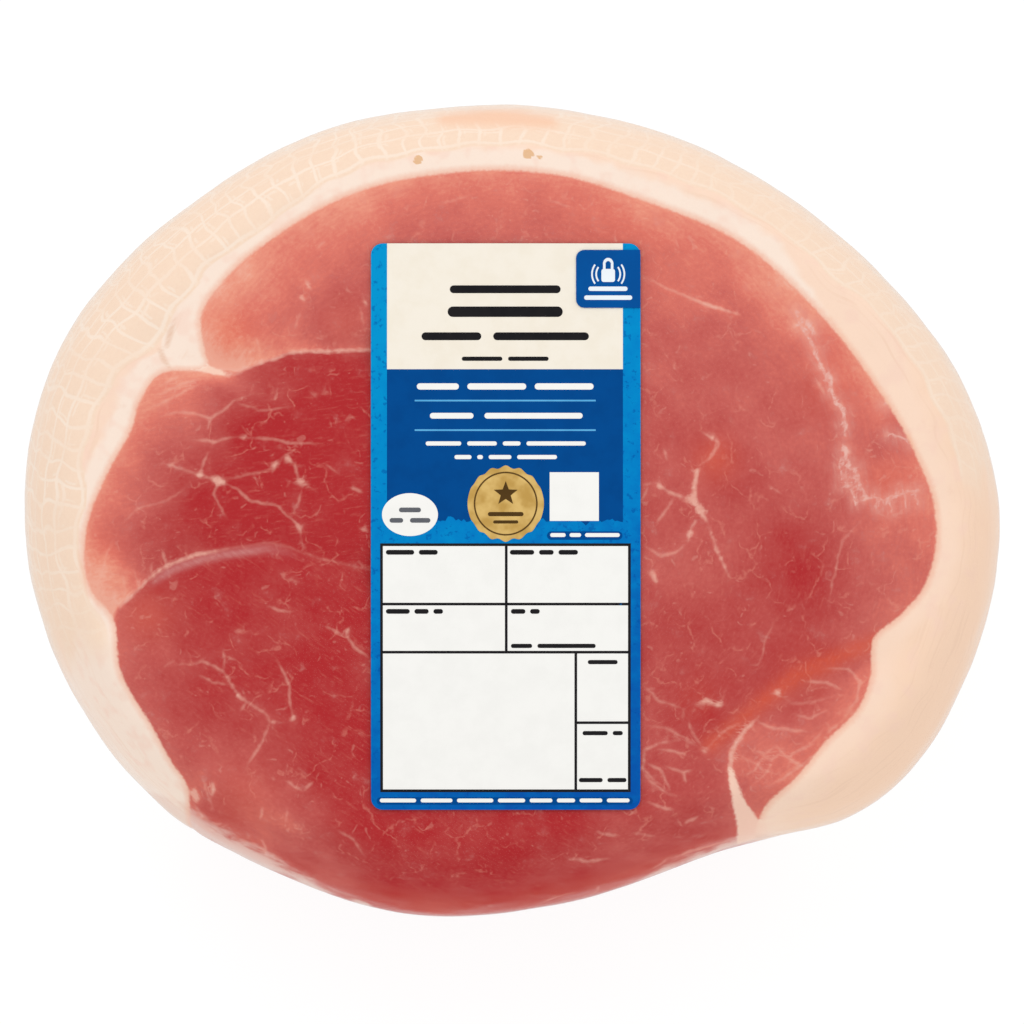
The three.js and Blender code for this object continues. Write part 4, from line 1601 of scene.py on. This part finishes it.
# Lines of words as (left, right, middle, height, letters of each word)
DARK_WORDS = [
    (-10.7, 10.5, 45.4, 1.5, [8]), (-11.1, 10.9, 41.1, 2.0, [6]), (-16.1, 15.9, 36.4, 1.5, [5, 8]),
    (-8.4, 8.2, 32.1, 0.8, [7, 7]),
]
WHITE_WORDS = [
    (-17.0, 16.8, 26.8, 1.2, [5, 7, 7]), (-14.5, 14.7, 21.2, 1.1, [4, 9]),
    (-15.3, 15.3, 15.9, 0.8, [6, 5, 3, 10]), (-9.8, 9.8, 13.3, 0.8, [3, 1, 4, 7]),
]
WHITE_SMALL_WORDS = [
    (8.5, 21.8, -1.6, 0.75, [4, 3, 9]), (-24.1, 23.7, -52.4, 0.75, [8, 7, 8, 6, 5, 4, 5, 5]),
]
CAPTIONS = [
    (-22.9, -13.0, -4.9, 0.9, [6, 4]), (0.8, 13.8, -4.9, 0.9, [5, 3, 4]),
    (-22.9, -12.0, -16.2, 0.9, [5, 3, 2]), (1.0, 6.5, -16.2, 0.9, [3, 2]),
    (1.0, 17.2, -22.8, 0.8, [4, 11]), (15.7, 21.4, -25.9, 0.8, [6]),
    (14.7, 22.4, -39.5, 0.8, [5, 2]), (14.0, 23.1, -48.5, 0.8, [5, 4]),
]
GREY_WORDS = [(-20.4, -16.2, 3.2, 0.9, [2]), (-22.2, -14.4, 1.2, 0.9, [2, 3])]
SEAL_WORDS = [(-3.4, 3.4, 2.4, 0.8, [7]), (-2.4, 2.4, 0.9, 0.6, [7])]
STICKER_WORDS = [(-3.8, 3.7, -1.9, 0.85, [8]), (-4.6, 4.6, -3.6, 0.85, [9])]

SEAL_AT = (0, 4.4)
SEAL_RADIUS, RING_RADIUS, FACE_RADIUS = 7.3, 6.1, 5.8
SCALLOPS, SCALLOP_DEPTH = 16, 0.035
STAR_AT, STAR_RADIUS = (0, 6.3), 2.4


def ragged_panel(printed):
    """The navy panel, with a torn lower edge."""
    draw = random.Random(8)
    count = 90
    columns = np.linspace(PANEL_LEFT, PANEL_RIGHT, count)
    lows, drift = [], 0.0
    for _ in columns:
        drift = 0.6 * drift + draw.gauss(0, 0.28)
        lows.append(NAVY_LOW + drift)
    printed.strip(columns, lows, [CREAM_LOW] * count, *PANEL)


def scalloped(turn):
    """How far out the seal's edge lies in a direction, as a share of its radius."""
    return 1 - SCALLOP_DEPTH * (1 - math.cos(SCALLOPS * turn))


def seal_star(printed, x, y, radius, level):
    """A small five-pointed star, one slab for each arm."""
    for arm in range(5):
        turn = math.radians(90 + 72 * arm)
        tip = (x + radius * math.cos(turn), y + radius * math.sin(turn))
        shoulders = [
            (x + 0.42 * radius * math.cos(turn + s), y + 0.42 * radius * math.sin(turn + s))
            for s in (-math.radians(36), math.radians(36))
        ]
        corners = [(x, y), shoulders[0], tip, shoulders[1]]
        start = len(printed.vertices)
        for lift in level:
            for px, py in corners:
                at_x, at_y = printed.x + px, printed.y + py
                printed.vertices.append((at_x, at_y, float(label_height(at_x, at_y)) + lift))
        printed.faces.append(tuple(start + 4 + k for k in range(4)))
        printed.faces.append(tuple(start + k for k in (3, 2, 1, 0)))
        for k in range(4):
            after = (k + 1) % 4
            printed.faces.append((start + k, start + after, start + 4 + after, start + 4 + k))


def make_label():
    x, y = LABEL["x"], LABEL["y"]
    half_width, half_height = LABEL["width"] / 2, LABEL["height"] / 2
    corner = LABEL["corner"]
    base = Print(x, y)
    base.rectangle(
        -half_width, half_width, -half_height, half_height,
        LABEL_LIFT, LABEL_LIFT + LABEL_THICKNESS, (corner, corner, corner, corner),
    )
    base.make("label_sheet", border_paper(), ["label"])

    cream = Print(x, y)
    cream.rectangle(PANEL_LEFT, PANEL_RIGHT, CREAM_LOW, half_height, *PANEL)
    cream.make("label_cream_panel", paper("cream_ink", (246, 238, 224), (243, 234, 218)))

    navy = Print(x, y)
    ragged_panel(navy)
    navy.bar(7.9, 22.3, -1.7, 1.6, *PANEL)
    navy.bar(-24.7, 24.3, -52.5, 1.4, *PANEL)
    navy.make("label_navy_panel", paper("navy_ink", (0, 74, 144), (0, 70, 138)))

    light = Print(x, y)
    for height in (24.1, 18.45):
        light.rectangle(-17.4, 17.2, height - 0.16, height + 0.16, *OVER_PANEL)
    light.make("label_thin_rules", paper("rule_ink", (96, 178, 226), (84, 168, 220)))

    dark = Print(x, y)
    dark.rectangle(*TABLE, *PANEL)
    for line in DARK_WORDS:
        dark.words(*line, *OVER_PANEL)
    for line in CAPTIONS:
        dark.words(*line, *ON_TOP)
    dark.make("label_dark_print", paper("dark_ink", (34, 32, 34), (28, 27, 30)))

    white = Print(x, y)
    for left, right, low, high in CELLS:
        left += RULE if left == TABLE[0] else RULE / 2
        right -= RULE if right == TABLE[1] else RULE / 2
        low += RULE if low == TABLE[2] else RULE / 2
        high -= RULE if high == TABLE[3] else RULE / 2
        white.rectangle(left, right, low, high, *OVER_PANEL)
    for line in WHITE_WORDS:
        white.words(*line, *OVER_PANEL)
    white.rectangle(8.4, 17.8, 1.1, 10.4, *OVER_PANEL)
    white.ellipse(-18.3, 2.3, 5.35, 4.1, *OVER_PANEL)
    for line in WHITE_SMALL_WORDS:
        white.words(*line, *OVER_PANEL)
    white.make("label_white_print", paper("white_ink", (248, 247, 243), (245, 244, 240)))

    grey = Print(x, y)
    for line in GREY_WORDS:
        grey.words(*line, *ON_TOP)
    grey.make("label_grey_print", paper("grey_ink", (104, 106, 112), (96, 98, 104)))

    gold = Print(x, y)
    gold.ellipse(*SEAL_AT, SEAL_RADIUS, SEAL_RADIUS, *OVER_PANEL, edge=scalloped, steps=160)
    gold.make("label_seal", gold_ink("seal_gold"))
    ring = Print(x, y)
    ring.ellipse(*SEAL_AT, RING_RADIUS, RING_RADIUS, *ON_TOP, steps=64)
    ring.make("label_seal_ring", paper("ring_ink", (96, 70, 34), (88, 64, 30)))
    face = Print(x, y)
    face.ellipse(*SEAL_AT, FACE_RADIUS, FACE_RADIUS, *OVER_RING, steps=64)
    face.make("label_seal_face", gold_ink("seal_face_gold"))
    mark = Print(x, y)
    seal_star(mark, *STAR_AT, STAR_RADIUS, ON_SEAL)
    for line in SEAL_WORDS:
        mark.words(*line, *ON_SEAL)
    mark.make("label_seal_mark", paper("mark_ink", (84, 60, 28), (78, 56, 26)))


def make_sticker():
    x, y = STICKER["x"], STICKER["y"]
    half_width, half_height = STICKER["width"] / 2, STICKER["height"] / 2
    bend = STICKER["corner"]
    top = STICKER_LIFT + STICKER_THICKNESS
    base = Print(x, y)
    base.rectangle(-half_width, half_width, -half_height, half_height, STICKER_LIFT, top, (bend, 0, 0, bend))
    base.make(
        "sticker_sheet", paper("sticker_navy", (2, 82, 156), (3, 78, 150)),
        ["security_sticker"],
    )
    icon = Print(x, y)
    level = (top, top + INK)
    icon.rectangle(-1.3, 1.3, -0.6, 1.9, *level, (0.45, 0.45, 0.45, 0.45))
    for left, right in ((-1.0, -0.5), (0.5, 1.0)):
        icon.rectangle(left, right, 1.9, 3.0, *level)
    icon.strip(
        [-1.0, -0.9, -0.7, -0.5, -0.2, 0.2, 0.5, 0.7, 0.9, 1.0],
        [3.0, 3.0, 3.0, 3.05, 3.4, 3.4, 3.05, 3.0, 3.0, 3.0],
        [3.05, 3.4, 3.7, 3.88, 4.0, 4.0, 3.88, 3.7, 3.4, 3.05], *level,
    )
    for side in (-1, 1):
        for reach in (2.3, 3.1):
            wave_arc(icon, side, reach, level)
    for line in STICKER_WORDS:
        icon.words(*line, *level)
    icon.make("sticker_print", paper("sticker_white", (240, 246, 250), (236, 242, 248)))


def wave_arc(printed, side, reach, level):
    """A thin arc beside the padlock, as a curved slab."""
    steps, width, spread, middle = 10, 0.16, math.radians(36), 0.9
    start = len(printed.vertices)
    for k in range(steps + 1):
        turn = -spread + 2 * spread * k / steps
        for radius in (reach - width, reach + width):
            for lift in level:
                at_x = printed.x + side * radius * math.cos(turn)
                at_y = printed.y + middle + radius * math.sin(turn)
                printed.vertices.append((at_x, at_y, float(label_height(at_x, at_y)) + lift))
    quads = [(1, 3, 7, 5), (0, 4, 6, 2), (0, 1, 5, 4), (2, 6, 7, 3)]
    faces = [tuple(start + 4 * k + c for c in quad) for k in range(steps) for quad in quads]
    faces += [(start, start + 2, start + 3, start + 1)]
    end = start + 4 * steps
    faces += [(end, end + 1, end + 3, end + 2)]
    printed.faces += [face[::-1] if side < 0 else face for face in faces]


# ---------------------------------------------------------------------------------------------------------
# Floor, light and camera
# ---------------------------------------------------------------------------------------------------------
CAMERA_DISTANCE = 2.0
SEEN_WIDTH = 0.19996
SENSOR = 36.0
FLOOR_HALF = 4.0
FLOOR_GLOW = 0.88
ROOM_LIGHT = 0.845
SOFTBOX_POWER = 4.0
SOFTBOX_SIZE = 0.8
SOFTBOX_AT = Vector((-0.05, 0.75, 1.25))
SOFTBOX_AIM = Vector((0, 0, 0.05))
# The height above the floor at which the picture is as wide as SEEN_WIDTH
SEEN_HEIGHT = 0.038


def make_stage():
    """A pale floor that glows a little, an evenly white room and one large soft light."""
    corners = [(x * FLOOR_HALF, y * FLOOR_HALF, 0) for x, y in ((-1, -1), (1, -1), (1, 1), (-1, 1))]
    floor = mesh_object("floor", corners, [(0, 1, 2, 3)])
    s = Surface("pale_floor")
    floor.data.materials.append(s.finish(
        Base_Color=(0.16, 0.16, 0.16, 1), Roughness=0.9, Specular_IOR_Level=0.0,
        Emission_Color=(1, 1, 1, 1), Emission_Strength=FLOOR_GLOW,
    ))

    world = bpy.data.worlds.new("soft_white_room")
    world.use_nodes = True
    background = world.node_tree.nodes["Background"]
    background.inputs["Color"].default_value = (1, 1, 1, 1)
    background.inputs["Strength"].default_value = ROOM_LIGHT
    bpy.context.scene.world = world

    lamp = bpy.data.lights.new("softbox", "AREA")
    lamp.shape = "SQUARE"
    lamp.size = SOFTBOX_SIZE
    lamp.energy = SOFTBOX_POWER
    light = bpy.data.objects.new("softbox", lamp)
    light.location = SOFTBOX_AT
    light.rotation_euler = (SOFTBOX_AIM - SOFTBOX_AT).to_track_quat("-Z", "Y").to_euler()
    bpy.context.scene.collection.objects.link(light)


def make_camera():
    """Straight above the joint, from far away, with the joint's +Y up in the picture."""
    lens = bpy.data.cameras.new("camera")
    lens.sensor_width = SENSOR
    lens.lens = SENSOR * CAMERA_DISTANCE / SEEN_WIDTH
    lens.clip_end = 100
    camera = bpy.data.objects.new("camera", lens)
    camera.location = (0, 0, CAMERA_DISTANCE + SEEN_HEIGHT)
    bpy.context.scene.collection.objects.link(camera)
    bpy.context.scene.camera = camera
    bpy.context.scene.view_settings.view_transform = "Standard"


make_camera()
make_stage()
make_joint()
make_film()
make_label()
make_sticker()
